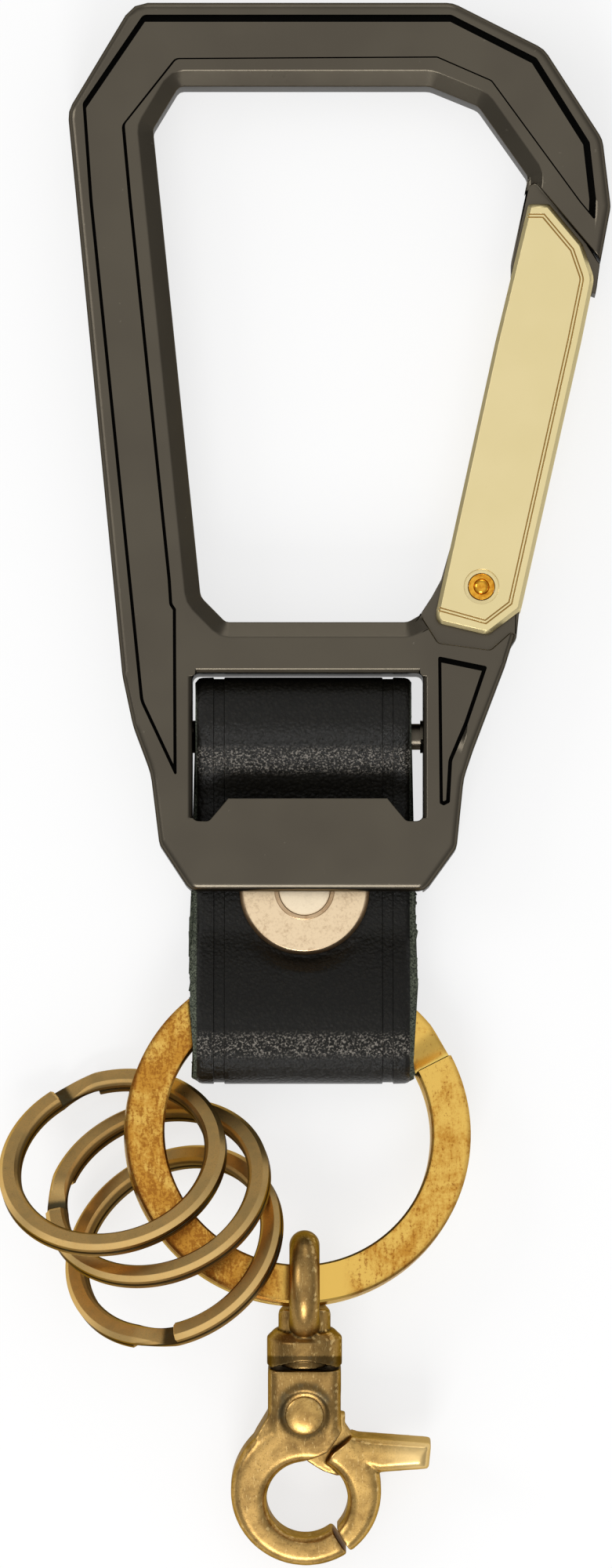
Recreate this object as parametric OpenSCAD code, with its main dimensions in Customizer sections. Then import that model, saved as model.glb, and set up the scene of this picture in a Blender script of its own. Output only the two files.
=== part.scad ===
// Carabiner keychain, laid flat: clip with a sprung gate, leather strap, flat split ring,
// three small split rings and a swivelling trigger hook. Millimetres, +Z up from the table.

/* [Clip frame] */
// Width of the clip frame
frame_w = 50; // [44:0.5:58]
// Height of the clip frame
frame_h = 81.8; // [74:0.2:92]
// Thickness of the clip frame
frame_t = 8; // [7.6:0.1:9]
// Width of the bar over the opening
top_bar_w = 7.7; // [6.5:0.1:9]
// Width of the side bar at its widest
side_bar_w = 7.85; // [6.5:0.1:9]
// Width of the nose beside the opening
nose_w = 7.6; // [6.5:0.1:9]
// Height of the solid end under the opening
jaw_h = 24.75; // [23.5:0.1:26.5]
// Chamfer round the front of the opening
opening_chamfer = 1.45; // [0.8:0.05:1.8]
// Chamfer round the back of the outer edge
edge_chamfer = 0.5; // [0.2:0.05:0.8]
// Rounding of the front of the outer edge
edge_round = 0.8; // [0.4:0.05:0.9]
// Chamfer round the front of the strap's window
window_chamfer = 0.4; // [0.2:0.05:0.5]
// Depth of the groove that frames the front panels
groove_d = 0.9; // [0.4:0.05:1.4]
// Width of the groove down the front panels' long sides
groove_w = 0.3; // [0.2:0.02:0.4]
// Step of the front panels below the rim
panel_drop = 0.12; // [0.06:0.02:0.3]
// Thickness of the tongues that enter the gate
tongue_t = 5.6; // [5:0.1:5.7]
// Thickness of the bridge over the strap
bridge_t = 2.4; // [1.8:0.1:2.6]
// Radius of the crossbar that the strap swings on
bar_r = 1.2; // [1:0.05:1.3]

/* [Gate] */
// Width of the box that the gate fills
gate_w = 14.6; // [14:0.1:15]
// Height of the box that the gate fills
gate_h = 39.7; // [39:0.1:40]
// Radius of the pivot bush
bush_r = 1.2; // [1:0.05:1.3]
// Radius of the pivot pin
pin_r = 0.68; // [0.5:0.02:0.8]
// Running clearance of the gate on its bush
run_gap = 0.05; // [0.03:0.01:0.08]
// Clearance between the gate and the frame
gate_gap = 0.3; // [0.2:0.05:0.35]
// Radius of the spring's wire in the gate
gate_wire_r = 0.2; // [0.15:0.01:0.22]

/* [Strap] */
// Width of the strap
strap_w = 19.8; // [17:0.1:20]
// Thickness of the leather
leather_t = 1.6; // [1.2:0.1:1.7]
// Height of the strap's rolled ends
roll_h = 7.95; // [7.7:0.05:8.2]
// Reach of the strap above the crossbar
roll_rise = 5.45; // [5.2:0.05:5.5]
// Reach of the strap below the crossbar
strap_drop = 31.95; // [31.9:0.05:36]
// Radius of the rivet's cap
cap_r = 6; // [4.5:0.1:6.2]
// Thickness of the rivet's cap
cap_t = 0.85; // [0.6:0.05:0.9]
// Radius of the rivet's stem
stem_r = 1.5; // [1:0.1:2]

/* [Key ring] */
// Outer radius of the key ring
ring_r = 15.85; // [15:0.05:17]
// Width of the key ring's band
band_w = 3.35; // [2.8:0.05:3.6]
// Thickness of one turn of the key ring
band_turn_t = 1.12; // [0.9:0.02:1.15]
// Gap between the turns of the key ring
band_slit = 0.06; // [0.04:0.01:0.12]

/* [Small rings] */
// Outer radius of a small ring
small_r = 10.65; // [10:0.05:10.8]
// Width of a small ring's wire
wire_w = 1.95; // [1.5:0.05:2]
// Thickness of one turn of a small ring
wire_turn_t = 0.82; // [0.6:0.02:0.85]
// Gap between the turns of a small ring
wire_slit = 0.06; // [0.04:0.01:0.12]

/* [Trigger hook] */
// Radius of the eye's bar
eye_bar_r = 1.4; // [1.1:0.05:1.5]
// Radius of the hole in the eye
eye_hole_r = 2.35; // [2.3:0.05:2.5]
// Radius of the swivel's flange
flange_r = 3.45; // [3:0.05:3.6]
// Distance from the eye's centre to the hook body
body_start = 7.45; // [7:0.05:8]
// Distance from the eye's centre to the hook's far end
hook_reach = 26; // [25.5:0.1:28]
// Thickness of the hook body
hook_t = 4.9; // [4.4:0.1:5.4]
// Radius of the hole in the hook
hook_hole_r = 3.5; // [3.2:0.05:3.7]
// Radius of the trigger's pin
trigger_pin_r = 0.9; // [0.7:0.05:1]
// Thickness of the trigger's arm
arm_t = 1.8; // [1.4:0.1:2]

/* [Hidden] */
$fn = 48;
// Overrun of a cut past the face that it opens
over = 0.5;
// Least corner radius of an inset outline
tiny_r = 0.02;
// Steps of an arc at an outline's corner
arc_steps = 4;
// Steps of a large arc
long_steps = 3;
// Clearance between pieces of different bodies
clear = 0.3;
// Seat clearance of a pressed piece
press = 0.02;

gunmetal = [0.32, 0.29, 0.25];
gold = [0.86, 0.79, 0.60];
brass = [0.80, 0.58, 0.20];
antique = [0.50, 0.39, 0.20];
leather = [0.12, 0.12, 0.11];
bronze = [0.76, 0.66, 0.52];
steel = [0.6, 0.6, 0.6];

// Outline helpers; an outline runs counter-clockwise
function unit(v) = v / norm(v);
function left_of(v) = [-v[1], v[0]];
function at(list, i) = list[(i + len(list)) % len(list)];
function flat(p) = [p[0], p[1]];
function turn(p, i) = cross(flat(p[i]) - flat(at(p, i - 1)), flat(at(p, i + 1)) - flat(p[i]));
function short_way(a) = (a + 900) % 360 - 180;

// Moves each edge of an outline inwards by d and keeps each corner's radius
function inset(p, d) = [for (i = [0 : len(p) - 1])
    let (a = left_of(unit(flat(p[i]) - flat(at(p, i - 1)))),
         b = left_of(unit(flat(at(p, i + 1)) - flat(p[i]))),
         q = flat(p[i]) + d * (a + b) / (1 + a * b),
         r = p[i][2] == 0 ? 0 : max(p[i][2] + (turn(p, i) > 0 ? -d : d), tiny_r))
    [q[0], q[1], r]];

// Moves each edge of an outline inwards by its own distance; edge i ends at point i
function inset_each(p, d) = [for (i = [0 : len(p) - 1])
    let (a = left_of(unit(flat(p[i]) - flat(at(p, i - 1)))),
         b = left_of(unit(flat(at(p, i + 1)) - flat(p[i]))), c = a * b, m = at(d, i + 1),
         q = flat(p[i]) + ((d[i] - c * m) * a + (m - c * d[i]) * b) / (1 - c * c),
         r = p[i][2] == 0 ? 0 : max(p[i][2] + (turn(p, i) > 0 ? -m : m), tiny_r))
    [q[0], q[1], r]];

// Rounds each corner [x, y, radius] of an outline with an arc; radius zero leaves the point
function rounded(p, steps = arc_steps) = [for (i = [0 : len(p) - 1])
    let (u = unit(flat(at(p, i - 1)) - flat(p[i])), v = unit(flat(at(p, i + 1)) - flat(p[i])),
         half = acos(u * v) / 2, c = flat(p[i]) + unit(u + v) * p[i][2] / sin(half),
         t0 = flat(p[i]) + u * p[i][2] / tan(half) - c,
         t1 = flat(p[i]) + v * p[i][2] / tan(half) - c,
         a0 = atan2(t0[1], t0[0]), d = short_way(atan2(t1[1], t1[0]) - a0))
    each (p[i][2] == 0 ? [flat(p[i])]
        : [for (k = [0 : steps]) c + p[i][2] * [cos(a0 + d * k / steps), sin(a0 + d * k / steps)]])];

// Scales a table of shares [x, y, radius] to a box, with radii as shares of unit_r
function in_box(table, w, h, unit_r, x0 = 0, y0 = 0) =
    [for (s = table) [x0 + s[0] * w, y0 + s[1] * h, s[2] * unit_r]];

// Solid through layers [z, inset] of one outline
module lofted(p, layers, steps = arc_steps) {
    rings = [for (l = layers) [for (q = rounded(inset(p, l[1]), steps)) [q[0], q[1], l[0]]]];
    n = len(rings[0]);
    m = len(layers);
    sides = [for (j = [0 : m - 2]) for (i = [0 : n - 1])
        let (a = j * n + i, b = j * n + (i + 1) % n) each [[a, a + n, b], [b, a + n, b + n]]];
    polyhedron(points = [for (r = rings) each r], faces = concat(sides,
        [[for (i = [0 : n - 1]) i]], [[for (i = [n - 1 : -1 : 0]) (m - 1) * n + i]]));
}

// Prism of a rounded outline from z0 to z1
module prism(p, z0, z1, steps = arc_steps) {
    translate([0, 0, z0]) linear_extrude(z1 - z0) polygon(rounded(p, steps));
}

// Wire wound about Z: a straight leg, the turns and another leg
module coil(mean_r, wire_r, pitch, turns, leg0, leg1, steps = 14, sides = 6) {
    count = ceil(turns * steps);
    function centre(i) = let (a = 360 * turns * i / count)
        [mean_r * cos(a), mean_r * sin(a), wire_r + pitch * turns * i / count];
    function out(i) = let (a = 360 * turns * i / count) [cos(a), sin(a), 0];
    function along(i) = let (a = 360 * turns * i / count)
        unit([-sin(a), cos(a), pitch / (360 * mean_r * PI / 180)]);
    function ring(c, i) = [for (k = [0 : sides - 1])
        c + wire_r * (cos(360 * k / sides) * out(i) + sin(360 * k / sides) * cross(along(i), out(i)))];
    rings = concat(leg0 > 0 ? [ring(centre(0) - leg0 * along(0), 0)] : [],
        [for (i = [0 : count]) ring(centre(i), i)],
        leg1 > 0 ? [ring(centre(count) + leg1 * along(count), count)] : []);
    m = len(rings);
    faces = [for (j = [0 : m - 2]) for (k = [0 : sides - 1])
        let (a = j * sides + k, b = j * sides + (k + 1) % sides)
        each [[a, a + sides, b], [b, a + sides, b + sides]]];
    polyhedron(points = [for (r = rings) each r], faces = concat(faces,
        [[for (k = [0 : sides - 1]) k]], [[for (k = [sides - 1 : -1 : 0]) (m - 1) * sides + k]]));
}

// Places along the keychain: the strap's centre line is x = 0 and the crossbar is the datum
strap_in_frame = 21.8;
bar_in_frame = 14.3;
bar_to_middle = 4.5;
frame_x = -strap_in_frame;
frame_y = bar_to_middle - bar_in_frame;
bar_z = roll_h / 2;

// Clip frame outline as shares of its width and height, with radii as shares of corner_r
corner_r = 1.2;
outer_shares = [[0.226, 0, 1], [0.658, 0, 1], [0.716, 0.049, 1], [0.729, 0.127, 6],
    [0.747, 0.160, 4], [0.806, 0.255, 8], [0.822, 0.287, 1], [0.977, 0.695, 1],
    [1, 0.770, 2], [0.985, 0.846, 2], [0.8775, 0.948, 2], [0.709, 1, 2], [0.120, 1, 2],
    [0, 0.8775, 2], [0.0836, 0.350, 10], [0.101, 0.242, 6], [0.120, 0.187, 6],
    [0.153, 0.133, 6], [0.169, 0.053, 1]];
// Opening as shares of its own box
opening_shares = [[0.194, 0, 0.6], [0.679, 0, 1], [0.719, 0.016, 1], [0.742, 0.0445, 1],
    [0.767, 0.077, 1], [1, 0.831, 0.6], [0.867, 0.963, 1], [0.7375, 1, 1.5], [0.069, 1, 0.6],
    [0, 0.92, 0.6], [0.123, 0.077, 1], [0.127, 0.0475, 1]];
// Space of the gate as shares of the frame
gap_shares = [[0.6527, 0.306, 0.2], [0.6816, 0.278, 0.5], [0.778, 0.270, 0.5],
    [0.815, 0.290, 0.2], [0.9, 0.27, 0.2], [1.1, 0.3, 0.2], [1.1, 0.703, 0.2],
    [0.984, 0.7045, 0.1], [0.979, 0.7125, 0.2], [0.859, 0.7991, 0.3], [0.80, 0.76, 0.3],
    [0.66, 0.36, 0.3]];
// Panel down the long side and over the top
long_panel_shares = [[0.2012, 0.1255, 0.1], [0.1998, 0.3165, 0.1],
    [0.1931, 0.3227, 0.3], [0.1902, 0.3501, 1], [0.1182, 0.7754, 1], [0.1052, 0.8621, 0.5],
    [0.2003, 0.9355, 0.5], [0.6801, 0.9372, 0.5], [0.7795, 0.9107, 0.5], [0.9424, 0.7745, 0.1],
    [0.9712, 0.7533, 0.1], [0.9726, 0.7781, 1], [0.9611, 0.8418, 0.5], [0.8634, 0.937, 0.5],
    [0.7063, 0.9858, 0.5], [0.1388, 0.9858, 0.5], [0.0274, 0.8859, 0.5], [0.0403, 0.7754, 1],
    [0.1124, 0.3501, 2], [0.134, 0.2131, 2]];
// Small panel beside the strap
short_panel_shares = [[0.6844, 0.098, 0.15], [0.6916, 0.0955, 0.15], [0.7032, 0.099, 0.15],
    [0.7075, 0.1459, 1], [0.7363, 0.1874, 1], [0.7723, 0.252, 0.15], [0.6816, 0.2635, 0.15]];
// Width of the groove along each edge of the panels, as shares of groove_w
long_groove_shares = [1, 1, 1, 1, 1, 1, 0.6, 0.45, 0.45, 0.45, 0.45, 2.1, 2.1, 2.1, 2.1, 2.2,
    1.7, 1, 1, 1];
short_groove_shares = [1, 1.2, 1.2, 1.2, 1.2, 1.2, 1.7];

opening_box = [frame_w - side_bar_w - nose_w, frame_h - top_bar_w - jaw_h];
opening_line = in_box(opening_shares, opening_box[0], opening_box[1], corner_r, side_bar_w, jaw_h);
pivot = [0.7615 * frame_w, 0.3418 * frame_h];
tongue_z0 = (frame_t - tongue_t) / 2;
tongue_z1 = (frame_t + tongue_t) / 2;
// The nose's tongue ends on an arc about the pivot, and so does the gate's slot for it
tongue_end_r = 29;
slot_end_r = tongue_end_r - 0.35;
lug_r = 5.3;
lug_slot_r = lug_r + clear;
nose_tongue_shares = [[0.93, 0.60, 0.2], [0.966, 0.652, 0.2], [0.9745, 0.68, 0.4],
    [0.980, 0.7055, 0.2], [0.955, 0.73, 0.2], [0.86, 0.806, 0.2], [0.8487, 0.7995, 0.3],
    [0.817, 0.709, 0.5], [0.815, 0.60, 0.2]];
lug_shares = [[0.63, 0.29, 0.2], [0.70, 0.25, 0.2], [0.79, 0.25, 0.2], [0.826, 0.285, 0.3],
    [0.834, 0.33, 1], [0.826, 0.42, 1], [0.72, 0.42, 1], [0.6873, 0.3501, 1], [0.670, 0.3307, 1],
    [0.652, 0.314, 0.5]];
spring_pocket_r = 2.4;
spring_pocket_d = 1.75;
spring_mean_r = 1.75;
spring_groove = gate_wire_r * 2 + 0.15;

// Window for the strap and the bridge in front of it
window_w = 21.2;
window_shift = 0.3;
window_top = 20;
bridge_z0 = frame_t - bridge_t;
bridge_low = 6.4;
bridge_high = 9;
bridge_half_low = 9.1;
bridge_half_high = 6.9;
bar_flare = 0.3;
bar_flare_l = 0.75;
window_round = 0.6;
// Height and inset of each layer of the front edge, as shares of edge_round
edge_shares = [[1, 0], [0.5, 0.134], [0.134, 0.5], [0, 1]];

module clip_grooves(table, widths) {
    line = in_box(table, frame_w, frame_h, corner_r);
    translate([0, 0, frame_t - groove_d]) linear_extrude(groove_d + over) difference() {
        polygon(rounded(line, 3));
        polygon(rounded(inset_each(line, groove_w * widths), 3));
    }
    translate([0, 0, frame_t - panel_drop]) linear_extrude(panel_drop + over)
        polygon(rounded(line, 3));
}

// Chamfer cut along X over an edge that faces +Y
module edge_cut(length, size) {
    translate([-length / 2, 0, frame_t]) rotate([90, 0, 90]) linear_extrude(length)
        polygon([[-over, -size - over], [size + over, over], [-over, over]]);
}

module window_cuts() {
    side = window_w / 2;
    prism([[-side, bridge_high - over, 0], [side, bridge_high - over, 0],
        [side, window_top, window_round], [-side, window_top, window_round]], -over,
        frame_t + over);
    prism([[-side, -over, 0], [side, -over, 0], [side, window_top, window_round],
        [-side, window_top, window_round]], -over, bridge_z0);
    prism([[-side, bridge_low, window_round], [-bridge_half_low, bridge_low, window_round],
        [-bridge_half_high, bridge_high, 0], [-bridge_half_high, bridge_high + over, 0],
        [bridge_half_high, bridge_high + over, 0], [bridge_half_high, bridge_high, 0],
        [bridge_half_low, bridge_low, window_round], [side, bridge_low, window_round],
        [side, window_top, window_round], [-side, window_top, window_round]],
        bridge_z0 - over, frame_t + over);
    translate([0, window_top, 0]) edge_cut(window_w - window_round, window_chamfer);
    for (s = [-1, 1]) translate([s * side, (bridge_low + window_top) / 2, 0])
        rotate([0, 0, -90 * s]) edge_cut(window_top - bridge_low - window_round, window_chamfer);
}

module clip_body() {
    outer = in_box(outer_shares, frame_w, frame_h, corner_r);
    difference() {
        lofted(outer, concat([[0, edge_chamfer], [edge_chamfer, 0]],
            [for (q = edge_shares) [frame_t - q[0] * edge_round, q[1] * edge_round]]), 2);
        prism(opening_line, -over, frame_t + over, 2);
        lofted(opening_line, [[frame_t - opening_chamfer, over / 50], [frame_t - opening_chamfer, 0],
            [frame_t + over, -opening_chamfer - over]], 2);
        lofted(opening_line, [[-over, -edge_chamfer - over], [edge_chamfer, 0],
            [edge_chamfer, over / 50]], 2);
        prism(in_box(gap_shares, frame_w, frame_h, corner_r), -over, frame_t + over, 2);
        translate([strap_in_frame + window_shift, 0, 0]) window_cuts();
        clip_grooves(long_panel_shares, long_groove_shares);
        clip_grooves(short_panel_shares, short_groove_shares);
    }
    translate([strap_in_frame + window_shift - window_w / 2 - over, bar_in_frame, bar_z])
        rotate([0, 90, 0]) {
            cylinder(h = window_w + 2 * over, r = bar_r);
            for (z = [0, window_w + 2 * over - bar_flare_l]) translate([0, 0, z])
                cylinder(h = bar_flare_l, r = bar_r + bar_flare);
        }
}

module carabiner_frame() {
    color(gunmetal) translate([frame_x, frame_y, 0]) difference() {
        union() {
            clip_body();
            intersection() {
                prism(in_box(nose_tongue_shares, frame_w, frame_h, corner_r), tongue_z0, tongue_z1, 2);
                difference() {
                    translate([pivot[0] - frame_w, pivot[1], 0]) cube([2 * frame_w, frame_h, frame_t]);
                    translate([pivot[0], pivot[1], -over]) cylinder(h = frame_t + 2 * over,
                        r = tongue_end_r, $fn = 96);
                }
            }
            intersection() {
                prism(in_box(lug_shares, frame_w, frame_h, corner_r), tongue_z0, tongue_z1, 2);
                union() {
                    translate([pivot[0], pivot[1], 0]) cylinder(h = frame_t, r = lug_r, $fn = 96);
                    translate([pivot[0] - frame_w / 2, pivot[1] - jaw_h, 0])
                        cube([frame_w, jaw_h, frame_t]);
                }
            }
        }
        translate([pivot[0], pivot[1], 0]) {
            translate([0, 0, -over]) cylinder(h = frame_t + 2 * over, r = bush_r + press);
            translate([0, 0, tongue_z0 - over]) cylinder(h = spring_pocket_d + over,
                r = spring_pocket_r);
            translate([spring_mean_r - spring_groove / 2, -lug_r - over, tongue_z0 - over])
                cube([spring_groove, lug_r + over, spring_groove + over]);
            translate([spring_mean_r - spring_groove / 2, 0, tongue_z0 - over])
                cube([spring_groove, lug_r + over, spring_pocket_d + over]);
        }
    }
}

// Gate outline as shares of its box
gate_shares = [[0, 0.029, 0.6], [0.33, 0, 0.8], [0.537, 0.0584, 0.5], [0.916, 0.677, 6],
    [1, 0.828, 1.8], [0.926, 0.907, 1], [0.715, 1, 0.3], [0.586, 1, 0.3], [0.5665, 0.971, 0.5],
    [0.374, 0.677, 8], [0.005, 0.058, 0.4]];
// Outline that the border lines follow: it runs off the gate's inner side
border_shares = [[-0.15, 0.049, 0.6], [0.33, 0, 0.8], [0.537, 0.0584, 0.5], [0.916, 0.677, 6],
    [1, 0.828, 1.8], [0.926, 0.907, 1], [0.715, 1, 0.3], [0.42, 1, 0.3], [0.40, 0.971, 0.5],
    [0.21, 0.677, 8], [-0.16, 0.078, 0.4]];
pivot_in_gate = [0.2882 * gate_w, 0.1124 * gate_h];
border_in = 0.9;
border_w = 0.11;
border_step = 0.28;
border_d = 0.14;
bush_recess_r = 1.62;
bush_recess_d = 0.5;
gate_edge = 0.35;

module gate() {
    line = in_box(gate_shares, gate_w, gate_h, corner_r, -pivot_in_gate[0], -pivot_in_gate[1]);
    border = in_box(border_shares, gate_w, gate_h, corner_r, -pivot_in_gate[0], -pivot_in_gate[1]);
    color(gold) translate([frame_x + pivot[0], frame_y + pivot[1], 0]) difference() {
        lofted(line, [[0, gate_edge], [gate_edge, 0], [frame_t - gate_edge, 0],
            [frame_t, gate_edge]], 3);
        for (in = [border_in, border_in + border_step]) translate([0, 0, frame_t - border_d])
            linear_extrude(border_d + over) difference() {
                polygon(rounded(inset(border, in), 3));
                polygon(rounded(inset(border, in + border_w), 3));
            }
        difference() {
            translate([-gate_w, 0, tongue_z0 - gate_gap])
                cube([2 * gate_w, gate_h, tongue_t + 2 * gate_gap]);
            translate([0, 0, -over]) cylinder(h = frame_t + 2 * over, r = slot_end_r, $fn = 96);
        }
        translate([0, 0, tongue_z0 - gate_gap]) {
            cylinder(h = tongue_t + 2 * gate_gap, r = lug_slot_r, $fn = 96);
            translate([-gate_w, -gate_h, 0]) cube([2 * gate_w, gate_h, tongue_t + 2 * gate_gap]);
        }
        translate([0, 0, -over]) {
            cylinder(h = frame_t + 2 * over, r = bush_r + run_gap);
            cylinder(h = bush_recess_d + over, r = bush_recess_r);
        }
        translate([0, 0, frame_t - bush_recess_d]) cylinder(h = bush_recess_d + over,
            r = bush_recess_r);
        translate([spring_mean_r - spring_groove / 2, 0, tongue_z0 - gate_gap])
            cube([spring_groove, lug_slot_r + spring_groove * 2, spring_pocket_d + gate_gap]);
    }
}

bush_end = 0.35;
module pivot_bush() {
    color(gold) translate([frame_x + pivot[0], frame_y + pivot[1], bush_end]) difference() {
        cylinder(h = frame_t - 2 * bush_end, r = bush_r);
        translate([0, 0, -over]) cylinder(h = frame_t + 2 * over, r = pin_r + press);
    }
}

dome_h = 0.3;
module gate_pin() {
    color(brass) translate([frame_x + pivot[0], frame_y + pivot[1], 0]) {
        translate([0, 0, bush_end]) cylinder(h = frame_t - 2 * bush_end, r = pin_r);
        for (s = [0, 1]) translate([0, 0, s ? frame_t - bush_end : bush_end]) mirror([0, 0, 1 - s])
            rotate_extrude() intersection() {
                scale([1, dome_h / pin_r]) circle(r = pin_r);
                square([pin_r, pin_r]);
            }
    }
}

spring_turns = 3;
module gate_spring() {
    color(steel) translate([frame_x + pivot[0], frame_y + pivot[1], tongue_z0 + press])
        coil(spring_mean_r, gate_wire_r, (spring_pocket_d - 3 * gate_wire_r) / spring_turns,
            spring_turns, lug_r - spring_groove, lug_slot_r);
}

// Strap side profile about the crossbar: x runs along the clip and y up from the table
flat_front = 4.35;
flat_back = 0.85;
bend_r = 4;
roll_r = 3.3;
under_bridge = 5.5;
over_bar = 0.5;
behind_bar = 2.3;
strap_shift = -0.1;
loop_from = 18;
loop_full = 25.5;
back_from = 24;
pinch = 19.6;
mouth_l = 0.8;
crease_r = 0.1;
end_r = 1.2;
floor_z = flat_back + leather_t;
module leather_strap() {
    outer = [[roll_rise, 0, roll_r], [roll_rise, roll_h, roll_r], [over_bar, roll_h, bend_r],
        [-under_bridge, flat_front, bend_r], [-loop_from, flat_front, bend_r],
        [-loop_full, roll_h, bend_r], [-strap_drop, roll_h, roll_r], [-strap_drop, 0, roll_r],
        [-back_from, 0, bend_r], [-loop_from, flat_back, bend_r],
        [-under_bridge - bend_r, flat_back, bend_r], [-behind_bar, 0, bend_r]];
    top_in = roll_rise - leather_t;
    ceiling = roll_h - leather_t;
    upper = [[top_in, leather_t, roll_r - leather_t], [top_in, ceiling, roll_r - leather_t],
        [-over_bar / 2, ceiling, leather_t], [-under_bridge, floor_z + over_bar / 2, crease_r],
        [-under_bridge, floor_z, crease_r], [-behind_bar, leather_t, leather_t]];
    lower = [[-pinch, floor_z + press, crease_r], [-pinch - press, floor_z + clear, crease_r],
        [-pinch - mouth_l, flat_front + clear, clear], [-loop_full, ceiling, bend_r],
        [leather_t - strap_drop, ceiling, end_r], [leather_t - strap_drop, leather_t, end_r],
        [mouth_l * 3 - back_from, leather_t, bend_r]];
    color(leather) translate([strap_shift - strap_w / 2, bar_to_middle, 0]) difference() {
        rotate([90, 0, 90]) linear_extrude(strap_w) difference() {
            polygon(rounded([for (i = [len(outer) - 1 : -1 : 0]) outer[i]]));
            polygon(rounded([for (i = [len(upper) - 1 : -1 : 0]) upper[i]]));
            polygon(rounded(lower));
        }
        translate([strap_w / 2 - strap_shift, -rivet_drop, 0]) {
            translate([0, 0, flat_front]) cylinder(h = roll_h, r = cap_r + press);
            translate([0, 0, -over]) cylinder(h = roll_h, r = stem_r + press);
            translate([0, 0, -over]) cylinder(h = flat_back + over, r = base_r + press);
        }
    }
}

rivet_drop = 14.1;
base_r = 4.2;
base_t = 0.6;
cap_ring_r = 2.75;
cap_ring_in = 2.38;
cap_ring_h = 0.12;
cap_edge = 0.35;
module rivet_cap() {
    color(bronze) translate([0, bar_to_middle - rivet_drop, flat_front]) difference() {
        rotate_extrude($fn = 72) polygon([[0, 0], [cap_r, 0], [cap_r, cap_t / 3],
            [cap_r - cap_edge, cap_t - cap_ring_h], [cap_ring_r, cap_t - cap_ring_h],
            [cap_ring_r, cap_t], [cap_ring_in, cap_t], [cap_ring_in, cap_t - cap_ring_h],
            [0, cap_t - cap_ring_h]]);
        translate([0, 0, -over]) cylinder(h = cap_t / 2 + over, r = stem_r + press);
    }
}
module rivet_post() {
    color(bronze) translate([0, bar_to_middle - rivet_drop, 0]) {
        translate([0, 0, flat_back - base_t / 2]) cylinder(h = flat_front - flat_back + base_t / 2
            + cap_t / 2 - press, r = stem_r);
        translate([0, 0, flat_back - base_t]) rotate_extrude($fn = 72) polygon([[0, 0],
            [base_r - cap_edge, 0], [base_r, cap_edge], [base_r, base_t], [0, base_t]]);
    }
}

// Flat coil of two turns; the upper turn dips under its own start over jog_a degrees
jog_steps = 8;
module split_ring(r, w, turn_t, slit, bevel, jog_a) {
    h = slit / 2;
    upper = [[r - w, h], [r, h], [r, h + turn_t - bevel], [r - bevel, h + turn_t],
        [r - w + bevel, h + turn_t], [r - w, h + turn_t - bevel]];
    rotate_extrude(angle = 360 - jog_a, start = 0, $fn = 96) polygon(upper);
    rotate_extrude(angle = 360 - jog_a, start = 0, $fn = 96)
        polygon([for (i = [len(upper) - 1 : -1 : 0]) [upper[i][0], -upper[i][1]]]);
    // The joggle, a little inside the turns that it joins
    skin = slit / 4;
    rings = [for (i = [-1 : jog_steps + 1])
        let (k = min(max(i, 0), jog_steps) / jog_steps, a = -jog_a * (1 - i / jog_steps),
             mid = (h + turn_t / 2) * cos(180 * k))
        [for (q = [[-1, -1], [1, -1], [1, 1], [-1, 1]])
            let (x = r - w / 2 + q[0] * (w / 2 - skin - (q[1] > 0 ? bevel : 0)),
                 z = mid + q[1] * (turn_t / 2 - skin))
            [x * cos(a), x * sin(a), z]]];
    m = len(rings);
    polyhedron(points = [for (q = rings) each q], faces = concat(
        [for (j = [0 : m - 2]) for (k = [0 : 3]) let (a = 4 * j + k, b = 4 * j + (k + 1) % 4)
            each [[a, b, a + 4], [b, b + 4, a + 4]]],
        [[3, 2, 1, 0]], [[for (k = [0 : 3]) 4 * (m - 1) + k]]));
}

// Key ring: it hangs in the strap's loop with its far side raised
ring_shift = -0.65;
ring_to_bar = 36.6;
ring_z = 5.7;
ring_tilt = [-9, 5, 0];
ring_end_a = 27.3;
band_bevel = 0.2;
module on_key_ring() {
    translate([ring_shift, bar_to_middle - ring_to_bar, ring_z]) rotate(ring_tilt) children();
}
module key_ring() {
    color(brass) on_key_ring() rotate([0, 0, ring_end_a]) mirror([0, 1, 0])
        split_ring(ring_r, band_w, band_turn_t, band_slit, band_bevel, 12);
}

// Small rings lean on the key ring: place, lean, direction of lean and start of the coil
small_bevel = 0.3;
module small_ring(place, lean, towards, end_a) {
    color(antique) translate(place) rotate([0, lean, towards]) rotate([0, 0, end_a])
        split_ring(small_r, wire_w, wire_turn_t, wire_slit, small_bevel, 24);
}
upper_place = [-17.8, -34.72, 7.46];
middle_place = [-13.43, -37.55, 7.59];
lower_place = [-11.95, -42.48, 7.3];
module small_ring_upper() small_ring(upper_place, 39.19, 106.47, 20);
module small_ring_middle() small_ring(middle_place, 40.39, 112.86, 75);
module small_ring_lower() small_ring(lower_place, 38.25, 125.94, 152);

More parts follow.
